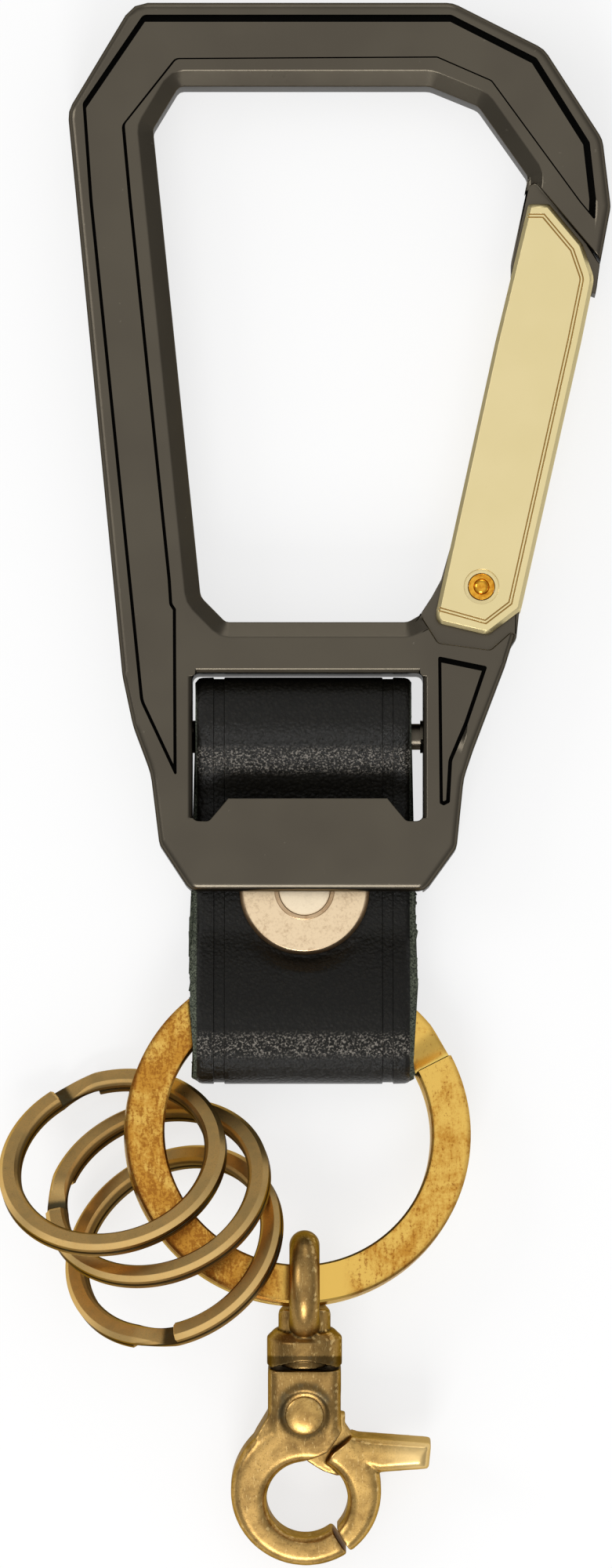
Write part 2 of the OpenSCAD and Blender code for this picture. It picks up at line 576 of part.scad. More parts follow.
// Trigger hook: its own frame has the eye's centre at zero and the far end towards -Y
hook_slope = 12.1;
eye_drop = 0.1;
band_mid_r = ring_r - band_w / 2;
eye_at = [0, bar_to_middle - ring_to_bar - band_mid_r * cos(ring_tilt[0]),
    ring_z - band_mid_r * sin(ring_tilt[0]) - eye_drop];
module on_hook() {
    translate(eye_at) rotate([hook_slope, 0, 0]) children();
}
eye_mean_r = eye_hole_r + eye_bar_r;
collar_r = 2.4;
collar_end = 4;
flange_end = body_start - clear / 2;
flange_round = 0.7;
arch_r = 5.2;
arch_h = 0.9;
post_r = 1.2;
post_head_r = 1.45;
post_end = 9.75;
head_t = 0.55;
head_play = 0.12;
module swivel_eye() {
    color(antique) on_hook() {
        difference() {
            union() {
                rotate([0, 90, 0]) rotate_extrude($fn = 72) translate([eye_mean_r, 0])
                    circle(r = eye_bar_r, $fn = 32);
                rotate([90, 0, 0]) rotate_extrude($fn = 48) polygon([[0, eye_hole_r - over],
                    [collar_r, eye_hole_r - over], [collar_r, collar_end],
                    [flange_r - flange_round, collar_end], [flange_r, collar_end + flange_round],
                    [flange_r, flange_end], [0, flange_end]]);
            }
            translate([-flange_r - over, 0, 0]) rotate([0, 90, 0])
                cylinder(h = 2 * flange_r + 2 * over, r = eye_hole_r, $fn = 72);
            difference() {
                translate([0, -flange_end - arch_r + arch_h, -flange_r - over])
                    cylinder(h = 2 * flange_r + 2 * over, r = arch_r, $fn = 72);
                rotate([90, 0, 0]) cylinder(h = flange_end + over, r = collar_r);
            }
        }
        rotate([90, 0, 0]) {
            translate([0, 0, collar_end]) cylinder(h = post_end - collar_end, r = post_r);
            translate([0, 0, post_end - head_t]) cylinder(h = head_t, r = post_head_r);
        }
    }
}

// The hook is one round casting on a straight neck, split between the body and the trigger
body_half = 3.45;
hook_out_r = 7;
hook_mid = [0.02 * hook_out_r, hook_out_r - hook_reach];
hole_mid = [0.014 * hook_out_r, 0.893 * hook_out_r - hook_reach];
trigger_in_body = 4.2;
trigger_at = [0, -body_start - trigger_in_body];
head_r = 1.8;
head_h = 0.45;
pin_recess_r = 2.2;
pin_recess_d = 0.22;
slot_play = 0.12;
slot_half = arm_t / 2 + slot_play;
section_r = 0.9;
// Shares of the hook's outer radius, from the hook's centre
shoulder_shares = [[-0.48, 1.06], [-0.68, 0.72], [-0.4, 0.5]];
shoulder_share = 0.85;
lever_shares = [[0.60, 0.75, 0.05], [0.60, 0.36, 0.05], [0.95, 0.25, 0.05], [1.623, 0.3, 0.05],
    [1.659, 0.667, 0.05]];
cut_shares = [[0.637, -0.971], [0.33, -0.486], [-0.006, -0.107], [-0.264, 0.314], [-0.077, 0.39],
    [0.28, 0.547], [0.473, 0.829], [0.473, 0.96], [1.3, 0.96], [1.3, -0.971]];
keep_shares = [[0.697, -0.971], [0.395, -0.478], [-0.006, -0.107], [0.216, 0.321], [0.351, 0.543],
    [0.5, 0.66], [0.6, 0.75], [1.3, 0.75], [1.3, -0.971]];
slot_shares = [[-0.44, 0.657], [-0.44, 1.3], [0.62, 1.3], [0.62, 0.286], [-0.043, 0.286],
    [-0.071, 0.514], [-0.179, 0.657]];
arm_shares = [[0, 1.264], [0.19, 1.093], [0.516, 1.021], [0.509, 0.879], [0.637, 0.693],
    [0.694, 0.336], [0.409, 0.193], [0.209, 0.264], [0.009, 0.393], [-0.106, 0.879]];
function hook_points(table) =
    in_box(table, hook_out_r, hook_out_r, hook_out_r, hook_mid[0], hook_mid[1]);
module hook_region(table, half) {
    translate([hook_mid[0], hook_mid[1], -half]) linear_extrude(2 * half)
        polygon([for (q = table) hook_out_r * q]);
}
// Rounded section of a casting of thickness t: height and inset of each layer
function casting(t) = [for (q = [[-0.5, 1], [-0.44, 0.45], [-0.3, 0.1], [0.3, 0.1], [0.44, 0.45],
    [0.5, 1]]) [q[0] * t, q[1] * section_r]];
module hook_disc() {
    translate([hook_mid[0], hook_mid[1], 0]) rotate_extrude($fn = 72) polygon(concat(
        [[0, -hook_t / 2]], [for (q = casting(hook_t)) [hook_out_r - q[1], q[0]]],
        [[0, hook_t / 2]]));
}
module hook_hole(r) {
    translate([hole_mid[0], hole_mid[1], 0]) rotate_extrude($fn = 72) polygon(concat(
        [[0, -hook_t / 2 - over], [r + section_r, -hook_t / 2 - over]],
        [for (q = casting(hook_t)) [r + q[1], q[0]]],
        [[r + section_r, hook_t / 2 + over], [0, hook_t / 2 + over]]));
}
module hook_body() {
    neck = concat([for (q = casting(hook_t)) [body_half - q[1], q[0]]],
        [for (q = casting(hook_t)) [q[1] - body_half, -q[0]]]);
    color(antique) on_hook() difference() {
        union() {
            hook_disc();
            translate([0, -body_start, 0]) rotate([90, 0, 0])
                linear_extrude(hook_reach - hook_out_r - body_start) polygon(neck);
            hook_region(shoulder_shares, hook_t * shoulder_share / 2);
        }
        hook_hole(hook_hole_r);
        hook_region(cut_shares, hook_t);
        rotate([90, 0, 0]) {
            cylinder(h = post_end, r = post_r + run_gap);
            translate([0, 0, post_end - head_t - head_play]) cylinder(h = head_t + 3 * head_play,
                r = post_head_r + head_play);
        }
        hook_region(slot_shares, slot_half);
        translate([trigger_at[0], trigger_at[1], -hook_t]) cylinder(h = 2 * hook_t,
            r = trigger_pin_r + press);
        for (s = [0, 1]) mirror([0, 0, s]) translate([trigger_at[0], trigger_at[1],
            hook_t / 2 - pin_recess_d]) cylinder(h = pin_recess_d + over, r = pin_recess_r);
    }
}

// Trigger: hub and arm in the body's slot, then the sprung side of the hook with its lever
hub_r = 1.5;
tail_w = 1;
tail_l = 2.7;
module trigger() {
    color(antique) on_hook() difference() {
        union() {
            difference() {
                intersection() {
                    hook_disc();
                    hook_region(keep_shares, hook_t);
                }
                hook_hole(hook_hole_r + clear);
            }
            lofted(hook_points(lever_shares), casting(hook_t), 3);
            translate([trigger_at[0], trigger_at[1], -arm_t / 2]) {
                cylinder(h = arm_t, r = hub_r);
                translate([-tail_l, -tail_w / 2, 0]) cube([tail_l, tail_w, arm_t]);
            }
            hook_region(arm_shares, arm_t / 2);
        }
        translate([trigger_at[0], trigger_at[1], -hook_t]) cylinder(h = 2 * hook_t,
            r = trigger_pin_r + run_gap);
    }
}
module trigger_pin() {
    color(antique) on_hook() translate([trigger_at[0], trigger_at[1], 0]) {
        translate([0, 0, -hook_t / 2]) cylinder(h = hook_t, r = trigger_pin_r);
        for (s = [0, 1]) mirror([0, 0, s]) translate([0, 0, hook_t / 2 - pin_recess_d])
            rotate_extrude() intersection() {
                scale([1, head_h / head_r]) circle(r = head_r);
                square([head_r, head_r]);
            }
    }
}
trigger_wire_r = 0.1;
trigger_coil_r = 0.6;
trigger_coil_x = -2.1;
trigger_coil_l = 2.1;
trigger_turns = 4;
module trigger_spring() {
    color(steel) on_hook() translate([trigger_coil_x, trigger_at[1] - tail_w / 2 - trigger_coil_l
        - press, 0]) rotate([-90, 0, 0]) coil(trigger_coil_r, trigger_wire_r,
        (trigger_coil_l - 2 * trigger_wire_r) / trigger_turns, trigger_turns, 0, 0, 10);
}

carabiner_frame();
gate();
pivot_bush();
gate_pin();
gate_spring();
leather_strap();
rivet_cap();
rivet_post();
key_ring();
small_ring_upper();
small_ring_middle();
small_ring_lower();
swivel_eye();
hook_body();
trigger();
trigger_pin();
trigger_spring();
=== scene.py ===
"""Looks of a carabiner keychain: clip, gate, leather strap, split rings and trigger hook.

Sizes and places are in millimetres and angles in degrees, wherever nothing else is said.
"""
import logging
import math
from contextlib import contextmanager
from dataclasses import dataclass
from enum import Enum
from typing import Callable, Dict, Iterable, Iterator, List, Optional, Sequence, Tuple, Union

import bpy
from mathutils import Matrix, Vector, kdtree, noise


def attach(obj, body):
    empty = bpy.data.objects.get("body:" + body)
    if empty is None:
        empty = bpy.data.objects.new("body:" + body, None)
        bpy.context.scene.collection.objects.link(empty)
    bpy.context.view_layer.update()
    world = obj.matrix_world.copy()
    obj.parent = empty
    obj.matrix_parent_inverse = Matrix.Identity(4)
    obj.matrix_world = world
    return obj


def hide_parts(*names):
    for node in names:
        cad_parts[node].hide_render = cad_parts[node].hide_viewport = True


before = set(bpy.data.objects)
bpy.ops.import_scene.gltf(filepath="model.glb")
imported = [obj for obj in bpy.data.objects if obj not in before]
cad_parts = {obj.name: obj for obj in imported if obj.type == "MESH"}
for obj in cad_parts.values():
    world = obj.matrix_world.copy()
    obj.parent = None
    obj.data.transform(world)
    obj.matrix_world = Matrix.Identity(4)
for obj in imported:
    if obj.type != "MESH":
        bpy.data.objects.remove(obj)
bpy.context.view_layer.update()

LOG = logging.getLogger("keychain")
MM = 0.001
# Modelling is done this many times larger where an operator has a smallest size of its own
ENLARGE = 100.0

Colour = Tuple[float, float, float]
Point2 = Tuple[float, float]
Point3 = Tuple[float, float, float]
Setting = Union[float, str, bool, Sequence[float]]
Piece = bpy.types.Object
Material = bpy.types.Material
Face = bpy.types.MeshPolygon
WHITE: Colour = (1.0, 1.0, 1.0)


class Body(Enum):
    """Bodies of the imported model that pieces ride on."""

    CLIP = "clip"
    GATE = "gate"
    STRAP = "strap"
    KEY_RING = "key_ring"
    RING_UPPER = "small_ring_upper"
    RING_MIDDLE = "small_ring_middle"
    RING_LOWER = "small_ring_lower"
    EYE = "eye"
    HOOK = "hook"
    TRIGGER = "trigger"


class Slot(Enum):
    """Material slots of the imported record."""

    GUNMETAL = "gunmetal"
    CHAMPAGNE = "champagne"
    GOLD_BRASS = "gold_brass"
    ANTIQUE = "antique_brass"
    BRONZE = "bronze"
    LEATHER = "black_leather"


def srgb(*levels: float) -> Colour:
    """Converts a colour from display values to linear light, with the sRGB standard's numbers.

    Args:
        levels: Red, green and blue, 0 to 255.

    Returns:
        The three linear values, 0 to 1.
    """
    shares = (level / 255.0 for level in levels)
    return tuple(v / 12.92 if v <= 0.04045 else ((v + 0.055) / 1.055) ** 2.4 for v in shares)


def operator(operation: str, swapped: bool = False) -> Callable[..., "Wire"]:
    """Makes an operator of the wire.

    Args:
        operation: The Math node's operation.
        swapped: Whether the wire comes second.

    Returns:
        The operator.
    """
    def act(wire: "Wire", *others: Union["Wire", float]) -> "Wire":
        """Adds the Math node."""
        values = (*others, wire) if swapped else (wire, *others)
        return wire.graph.add("ShaderNodeMath", {"operation": operation}, values)
    return act


class Wire:
    """One value in a node graph, with Python's operators adding Math nodes."""

    __add__ = __radd__ = operator("ADD")
    __sub__, __rsub__ = operator("SUBTRACT"), operator("SUBTRACT", swapped=True)
    __mul__ = __rmul__ = operator("MULTIPLY")
    __pow__ = operator("POWER")
    __abs__ = operator("ABSOLUTE")
    lowest = operator("MINIMUM")

    def __init__(self, graph: "Graph", socket: bpy.types.NodeSocket) -> None:
        """Wraps an output socket of the graph."""
        self.graph = graph
        self.socket = socket

    def swing(self, reach: float) -> "Wire":
        """A noise's swing about its mean of a half, times its reach."""
        return (self - 0.5) * reach

    def step(self, low: float, high: float, start: float = 0.0, end: float = 1.0) -> "Wire":
        """Maps this value smoothly.

        Args:
            low: Value that gives start.
            high: Value that gives end.
            start: Result at and below low.
            end: Result at and above high.

        Returns:
            The mapped value.
        """
        return self.graph.add(
            "ShaderNodeMapRange", {"interpolation_type": "SMOOTHSTEP", "clamp": True},
            {"Value": self, "From Min": low, "From Max": high, "To Min": start, "To Max": end})


Value = Union[Wire, float, Sequence[float]]
Coat = Tuple[Value, Value]


class Graph:
    """The node graph of one material or of the world."""

    # Places of the Mix node's sockets for colours
    SHARE, FIRST, SECOND, MIXED = 0, 6, 7, 2

    def __init__(self, owner: Union[Material, bpy.types.World],
                 output: str = "ShaderNodeOutputMaterial") -> None:
        """Empties the graph and gives it an output.

        Args:
            owner: The material or world.
            output: Type of the output node.
        """
        owner.use_nodes = True
        self.owner = owner
        self.tree = owner.node_tree
        self.tree.nodes.clear()
        self.output = self.tree.nodes.new(output)

    def _feed(self, socket: bpy.types.NodeSocket, value: Value) -> None:
        """Links or sets one socket.

        Args:
            socket: The socket.
            value: A wire, a number, or a vector or colour, whose missing parts are 1.
        """
        if isinstance(value, Wire):
            self.tree.links.new(value.socket, socket)
        elif hasattr(value, "__len__"):
            size = len(socket.default_value)
            socket.default_value = (list(value) + [1.0] * size)[:size]
        else:
            socket.default_value = value

    def add(self, kind: str, settings: Optional[Dict[str, Setting]] = None,
            inputs: Union[Sequence[Value], Dict[Union[str, int], Value]] = (),
            output: Union[int, str] = 0) -> Wire:
        """Adds one node.

        Args:
            kind: The node's type.
            settings: Its own settings, set first; "stops" gives a ramp's places and greys.
            inputs: Values or wires for its sockets, by order or by name.
            output: The output to return.

        Returns:
            The chosen output.
        """
        node = self.tree.nodes.new(kind)
        for key, value in (settings or {}).items():
            if key == "stops":
                elements = node.color_ramp.elements
                while len(elements) < len(value):
                    elements.new(0.5)
                for element, (place, grey) in zip(elements, value):
                    element.position = place
                    element.color = (grey, grey, grey, 1.0)
            else:
                setattr(node, key, value)
        for key, value in inputs.items() if isinstance(inputs, dict) else enumerate(inputs):
            self._feed(node.inputs[key], value)
        return Wire(self, node.outputs[output])

    def place(self) -> Wire:
        """The surface point in the object's own coordinates."""
        return self.add("ShaderNodeTexCoord", output="Object")

    def worn(self) -> Wire:
        """How far the surface stands out: above 0.5 on ridges and below it in hollows."""
        return self.add("ShaderNodeNewGeometry", output="Pointiness")

    def axis(self, vector: Wire, name: str) -> Wire:
        """One of a vector's parts, X, Y or Z."""
        return self.add("ShaderNodeSeparateXYZ", None, [vector], name) * (1.0 / MM)

    def moved(self, vector: Wire, turn: float, stretch: Point3) -> Wire:
        """Turns a pattern's coordinates about Z, and scales them along each axis."""
        return self.add("ShaderNodeMapping", None, {
            "Vector": vector, "Rotation": (0.0, 0.0, math.radians(turn)), "Scale": stretch})

    def local(self, centre: Point3, turn: Point3) -> Wire:
        """The surface point along the axes of a piece that lies turned.

        Args:
            centre: The piece's centre.
            turn: Its turn about X, Y and Z.

        Returns:
            The point.
        """
        return self.add("ShaderNodeMapping", {"vector_type": "TEXTURE"}, {
            "Vector": self.place(), "Location": [c * MM for c in centre],
            "Rotation": [math.radians(a) for a in turn]})

    def from_axis(self, vector: Wire) -> Wire:
        """Distance of a point from its Z axis."""
        x, y = self.axis(vector, "X"), self.axis(vector, "Y")
        return (x * x + y * y) ** 0.5

    def noise(self, vector: Wire, cell: float, detail: float = 3.0, rough: float = 0.55,
              warp: float = 0.0) -> Wire:
        """Soft noise from 0 to 1.

        Args:
            vector: Coordinates.
            cell: Size of its blotches.
            detail: Number of finer layers.
            rough: Strength of the finer layers.
            warp: How far the pattern is pulled about.

        Returns:
            The noise.
        """
        return self.add("ShaderNodeTexNoise", None, {
            "Vector": vector, "Scale": 1.0 / (cell * MM), "Detail": detail,
            "Roughness": rough, "Distortion": warp}, "Fac")

    def coats(self, colour: Value, *over: Coat) -> Value:
        """Lays colours over each other.

        Args:
            colour: The lowest colour.
            over: The share and the colour of each coat over it.

        Returns:
            The mixed colour.
        """
        for share, coat in over:
            colour = self.add("ShaderNodeMix", {"data_type": "RGBA"}, {
                self.SHARE: share, self.FIRST: colour, self.SECOND: coat}, self.MIXED)
        return colour

    def bump(self, height: Wire, depth: float, under: Optional[Wire] = None) -> Wire:
        """Turns a height from 0 to 1 into a surface normal.

        Args:
            height: The height.
            depth: Its depth.
            under: A normal that this one is laid over.

        Returns:
            The normal.
        """
        normal = {"Normal": under} if under else {}
        return self.add("ShaderNodeBump", None, {
            "Height": height, "Distance": depth * MM, "Strength": 1.0, **normal})

    def principled(self, **inputs: Value) -> Wire:
        """Adds the principled shader, whose sockets' names have _ for a space here."""
        return self.add("ShaderNodeBsdfPrincipled", None, {
            name.replace("_", " "): value for name, value in inputs.items()})

    def show(self, surface: Wire) -> None:
        """Gives the output its surface."""
        self.tree.links.new(surface.socket, self.output.inputs["Surface"])


@dataclass(frozen=True)
class Finish:
    """What all finishes have.

    Attributes:
        name: The material's name.
        base: Its main colour.
        shade: Its second colour, of clouds and stain, and in some finishes also of painted shade.
        rough: Its mean roughness.
        graze: Tint of the light that grazes it.
        metal: Share of metal.
        level: Strength of its reflection where it is no metal.
    """

    name: str
    base: Colour
    shade: Colour
    rough: float = 0.3
    graze: Colour = WHITE
    metal: float = 1.0
    level: float = 0.5

    def graph(self) -> Graph:
        """Starts the material."""
        return Graph(bpy.data.materials.new(self.name))

    def close(self, g: Graph, colour: Value, rough: Value, **normal: Value) -> Material:
        """Gives the material its shader.

        Args:
            g: The material's graph.
            colour: Its colour.
            rough: Its roughness.
            normal: Normal, if its surface isn't smooth.

        Returns:
            The material.
        """
        g.show(g.principled(Base_Color=colour, Metallic=self.metal, Roughness=rough,
                            Specular_Tint=self.graze, Specular_IOR_Level=self.level, **normal))
        return g.owner


@dataclass(frozen=True)
class Gunmetal(Finish):
    """Dark plated zinc with a satin face and faint plating marks."""

    name: str = "gunmetal plating"
    base: Colour = srgb(91, 85, 74)
    shade: Colour = srgb(86, 80, 70)
    speck: Colour = srgb(128, 122, 108)
    graze: Colour = (0.3, 0.3, 0.3)

    def paint(self) -> Material:
        """Builds the material.

        Returns:
            The material.
        """
        g = self.graph()
        spot = g.place()
        cloud = g.noise(spot, 9.0, 2.0)
        fine = g.noise(spot, 0.3, 2.0, 0.5)
        streak = g.noise(g.moved(spot, -8.0, (1.0, 0.06, 1.0)), 0.25, 2.0, 0.5)
        speck = g.noise(spot, 0.55, 2.0, 0.5).step(0.74, 0.8)
        colour = g.coats(self.shade, (cloud.step(0.3, 0.7), self.base), (speck * 0.35, self.speck))
        rough = cloud.swing(0.06) + streak.swing(0.08) + self.rough
        return self.close(g, colour, rough, Normal=g.bump(fine * 0.7 + streak * 0.3, 0.0012))


@dataclass(frozen=True)
class Plain(Finish):
    """A finish with one even grain, through which its second colour shows.

    Attributes:
        grain: Size of the grain, number of its finer layers and their strength.
        swing: How far the grain changes the roughness.
        depth: Depth of the grain.
        scuffs: Grain between which the second colour fades in, where it isn't even.
    """

    grain: Point3 = (0.25, 3.0, 0.6)
    swing: float = 0.2
    depth: float = 0.01
    scuffs: Tuple[float, ...] = ()

    def paint(self) -> Material:
        """Builds the material.

        Returns:
            The material.
        """
        g = self.graph()
        grain = g.noise(g.place(), *self.grain)
        share = grain.step(*self.scuffs) if self.scuffs else grain
        normal = {"Normal": g.bump(grain, self.depth)} if self.depth else {}
        return self.close(g, g.coats(self.base, (share, self.shade)),
                          grain.swing(self.swing) + self.rough, **normal)


@dataclass(frozen=True)
class Champagne(Finish):
    """Pale gold with a fine satin grain."""

    name: str = "champagne gold"
    base: Colour = srgb(230, 213, 161)
    shade: Colour = srgb(227, 210, 157)
    mark: Colour = srgb(206, 182, 122)
    rough: float = 0.34
    graze: Colour = (0.6, 0.55, 0.45)

    def paint(self) -> Material:
        """Builds the material.

        Returns:
            The material.
        """
        g = self.graph()
        spot = g.place()
        cloud = g.noise(spot, 6.0, 2.0)
        grit = g.noise(spot, 0.14, 2.0, 0.6)
        mark = g.noise(spot, 0.5, 2.0, 0.5).step(0.72, 0.8)
        colour = g.coats(self.shade, (cloud.step(0.3, 0.7), self.base), (mark * 0.12, self.mark))
        rough = cloud.swing(0.02) + grit.swing(0.08) + self.rough
        return self.close(g, colour, rough, Normal=g.bump(grit, 0.0016))


@dataclass(frozen=True)
class Round(Finish):
    """A finish whose pattern follows a round piece.

    Attributes:
        centre, turn: The piece's centre, and its turn about each axis.
        inner, outer: Radius of its hole, or of the ring on it, and of its rim.
    """

    centre: Point3 = (0.0, 0.0, 0.0)
    turn: Point3 = (0.0, 0.0, 0.0)
    inner: float = 0.0
    outer: float = 0.0


@dataclass(frozen=True)
class MottledBrass(Round):
    """Yellow brass with brown heat stain in fibrous blotches, and a painted highlight on its lower
    turn.
    """

    name: str = "mottled brass"
    centre: Point3 = (-0.65, -32.1, 5.7)
    turn: Point3 = (-9.0, 5.0, 0.0)
    inner: float = 12.33
    outer: float = 15.93
    base: Colour = srgb(232, 190, 96)
    shade: Colour = srgb(196, 134, 46)
    # Colour of the painted highlight on the lower turn
    clean: Colour = srgb(236, 206, 112)
    spot: Colour = srgb(140, 76, 24)
    rim_brown: Colour = srgb(96, 46, 20)
    graze: Colour = (0.7, 0.55, 0.3)
    rough: float = 0.16

    def paint(self) -> Material:
        """Builds the material.

        Returns:
            The material.
        """
        g = self.graph()
        spot = g.local(self.centre, self.turn)
        x, y, z = (g.axis(spot, name) for name in "XYZ")
        blotch = g.noise(spot, 4.2, 4.0, 0.62, 0.8)
        fibre = g.noise(g.moved(spot, 30.0, (1.0, 0.3, 1.0)), 0.5, 4.0, 0.7, 0.6)
        speck = g.noise(spot, 0.28, 3.0, 0.7)
        # Stain heaviest on the left, and left off beside the hook's eye, where a highlight is
        # painted
        left = x.step(6.0, -12.0, 0.0, 0.1) + y.step(4.0, -13.0, 0.0, 0.05)
        eye = (abs(x - 1.5).step(2.2, 4.2) + y.step(-8.0, -6.0)).lowest(1.0)
        stain = (blotch * 0.55 + fibre * 0.3 + speck * 0.2 + left).step(0.5, 0.68) * eye
        spots = (fibre * 0.5 + speck * 0.5 + left * 0.7).step(0.54, 0.66) * eye
        radius = g.from_axis(spot)
        # Darker brown along both rims, in blotches and most on the left
        rims = radius.step(self.outer - 0.55, self.outer - 0.02) + radius.step(
            self.inner + 0.4, self.inner + 0.02)
        rims = (rims * (blotch * 0.9 + left * 3.0 + 0.1)).lowest(1.0) * eye
        # The lower turn is painted brighter, a painted highlight
        lower = z.step(0.03, -0.03)
        colour = g.coats(self.base, (stain * 0.85, self.shade), (spots * 0.6, self.spot),
                         (rims * 0.75, self.rim_brown), (lower * (1 - rims * 0.5), self.clean))
        rough = stain * 0.1 + fibre * 0.08 - lower * 0.04 + self.rough
        return self.close(g, colour, rough, Normal=g.bump(fibre * 0.6 + blotch * 0.4, 0.008))


@dataclass(frozen=True)
class AntiqueBrass(Finish):
    """Darkened brass, rubbed bright on its ridges and dark in its hollows.

    Attributes:
        old, bright: Colours of the neck, and of what is rubbed.
        dirt, green: The two colours of the dirt.
        neck: Place along Y above which the hook is darker.
        pin: The pin's x and y and the radius of the dirt round it.
        collar: Place along Y of the collar's lower edge.
        dirty: Share of dirt round the pin and under the collar.
        lever: Place along X past which the lever is rubbed bright.
    """

    name: str = "antique brass"
    base: Colour = srgb(196, 158, 94)
    shade: Colour = srgb(112, 84, 46)
    old: Colour = srgb(112, 86, 50)
    bright: Colour = srgb(236, 204, 140)
    dirt: Colour = srgb(34, 25, 13)
    green: Colour = srgb(46, 50, 42)
    neck: float = -59.5
    pin: Point3 = (0.0, -57.5, 2.15)
    collar: float = -52.8
    dirty: float = 0.7
    lever: float = 6.5
    graze: Colour = (0.45, 0.38, 0.26)
    rough: float = 0.33

    def paint(self) -> Material:
        """Builds the material.

        Returns:
            The material.
        """
        g = self.graph()
        spot = g.place()
        x, y = g.axis(spot, "X"), g.axis(spot, "Y")
        cloud = g.noise(spot, 2.2, 4.0, 0.62, 0.5)
        grit = g.noise(spot, 0.18, 3.0, 0.65)
        scratch = g.noise(g.moved(spot, 28.0, (1.0, 0.12, 1.0)), 0.12, 2.0, 0.6)
        worn = g.worn()
        hollow = (worn + cloud.swing(0.03)).step(0.495, 0.462)
        ridge = (worn + grit.swing(0.03)).step(0.512, 0.56)
        # The neck is handled least, so it stays darkest
        neck = (y + cloud.swing(4.0)).step(self.neck - 1.5, self.neck + 1.5)
        # Dirt lies round the pin's head and under the collar; the lever's end is rubbed
        y = y + grit.swing(0.5)
        away = ((x - self.pin[0]) ** 2.0 + (y - self.pin[1]) ** 2.0) ** 0.5
        dirt = abs(away - self.pin[2]).step(0.75, 0.15) + y.step(
            self.collar - 1.6, self.collar - 0.2) * y.step(self.collar + 0.4, self.collar + 0.2)
        tint = g.coats(self.dirt, (cloud.step(0.5, 0.6), self.green))
        colour = g.coats(
            self.base, (cloud.step(0.36, 0.76, 0.0, 0.8), self.shade), (neck * 0.5, self.old),
            (grit.step(0.52, 0.7, 0.0, 0.6), self.shade),
            (scratch.step(0.6, 0.7, 0.0, 0.45), self.bright), (ridge * 0.55, self.bright),
            (hollow * 0.88, tint), ((dirt * self.dirty).lowest(0.8), tint),
            (x.step(self.lever, self.lever + 4.0) * 0.85, self.bright))
        rough = self.rough + grit.swing(0.14) + hollow * 0.25
        return self.close(g, colour, rough, Normal=g.bump(grit * 0.7 + cloud * 0.3, 0.01))


@dataclass(frozen=True)
class RingBrass(Round):
    """Antique brass of a small split ring: painted shade inside and on its outer wall, dirt and
    painted shade in its slit, a painted highlight on its bevels.
    """

    inner: float = 8.7
    outer: float = 10.6
    base: Colour = srgb(156, 108, 46)
    shade: Colour = srgb(62, 40, 17)
    bright: Colour = srgb(240, 202, 132)
    # Dirt colours of the slit, which also stand for painted shade there
    dirt: Colour = srgb(30, 22, 12)
    green: Colour = srgb(44, 50, 42)
    # Colour of the painted shade inside the ring
    hole: Colour = srgb(40, 29, 14)
    graze: Colour = (0.4, 0.33, 0.22)

    def paint(self) -> Material:
        """Builds the material.

        Returns:
            The material.
        """
        g = self.graph()
        spot = g.local(self.centre, self.turn)
        cloud = g.noise(spot, 2.6, 4.0, 0.62, 0.4)
        grit = g.noise(spot, 0.16, 3.0, 0.65)
        radius, height = g.from_axis(spot), abs(g.axis(spot, "Z"))
        ridge = (g.worn() + grit.swing(0.02)).step(0.515, 0.55)
        # A painted highlight on the outer bevels and painted shade on the outer wall
        bevel = radius.step(self.outer - 0.5, self.outer - 0.36) * height.step(0.42, 0.52)
        wall = radius.step(self.outer - 0.16, self.outer - 0.04) * height.step(0.5, 0.4)
        # Dirt and painted shade in the slit between the turns, painted shade on the inner wall
        slit = (height + grit.swing(0.08)).step(0.22, 0.08)
        hole = (radius + cloud.swing(0.1)).step(self.inner + 0.22, self.inner + 0.06)
        colour = g.coats(
            self.base, (cloud.step(0.4, 0.68, 0.0, 0.75), self.shade),
            (grit.step(0.5, 0.66, 0.0, 0.7), self.shade), (ridge * 0.5, self.bright),
            (bevel * (cloud * 0.9), self.bright), (wall * 0.6, self.shade),
            (slit * 0.85, g.coats(self.dirt, (cloud.step(0.45, 0.6), self.green))),
            (hole * 0.7, self.hole))
        rough = self.rough + grit.swing(0.14) + hole * 0.15
        return self.close(g, colour, rough, Normal=g.bump(grit * 0.7 + cloud * 0.3, 0.008))


@dataclass(frozen=True)
class PaleBronze(Round):
    """Tumbled pale bronze of the rivet, with painted shade at the rim and in the ring and a
    painted highlight inside it.
    """

    name: str = "pale bronze"
    centre: Point3 = (0.0, -9.6, 5.0)
    inner: float = 2.56
    outer: float = 6.0
    base: Colour = srgb(238, 214, 178)
    shade: Colour = srgb(142, 100, 56)
    # Colour of the painted highlight inside the ring
    pale: Colour = srgb(255, 240, 212)
    rough: float = 0.36

    def paint(self) -> Material:
        """Builds the material.

        Returns:
            The material.
        """
        g = self.graph()
        spot = g.local(self.centre, self.turn)
        radius = g.from_axis(spot)
        cloud = g.noise(spot, 1.4, 4.0, 0.7, 0.4)
        grit = g.noise(spot, 0.22, 3.0, 0.65)
        # A painted highlight inside the ring, painted shade in the ring and at the rim
        inside = radius.step(self.inner - 0.2, self.inner - 0.4)
        line = abs(radius - self.inner).step(0.3, 0.14) * (0.35 + cloud * 0.4)
        rim = (radius + cloud.swing(0.3)).step(self.outer - 0.5, self.outer - 0.12)
        colour = g.coats(
            self.base, ((cloud * 0.5 + grit * 0.5).step(0.46, 0.7, 0.0, 0.4), self.shade),
            (inside * 0.6, self.pale), (line, self.shade), (rim * 0.75, self.shade))
        return self.close(g, colour, grit.swing(0.15) + self.rough,
                          Normal=g.bump(grit, 0.008))


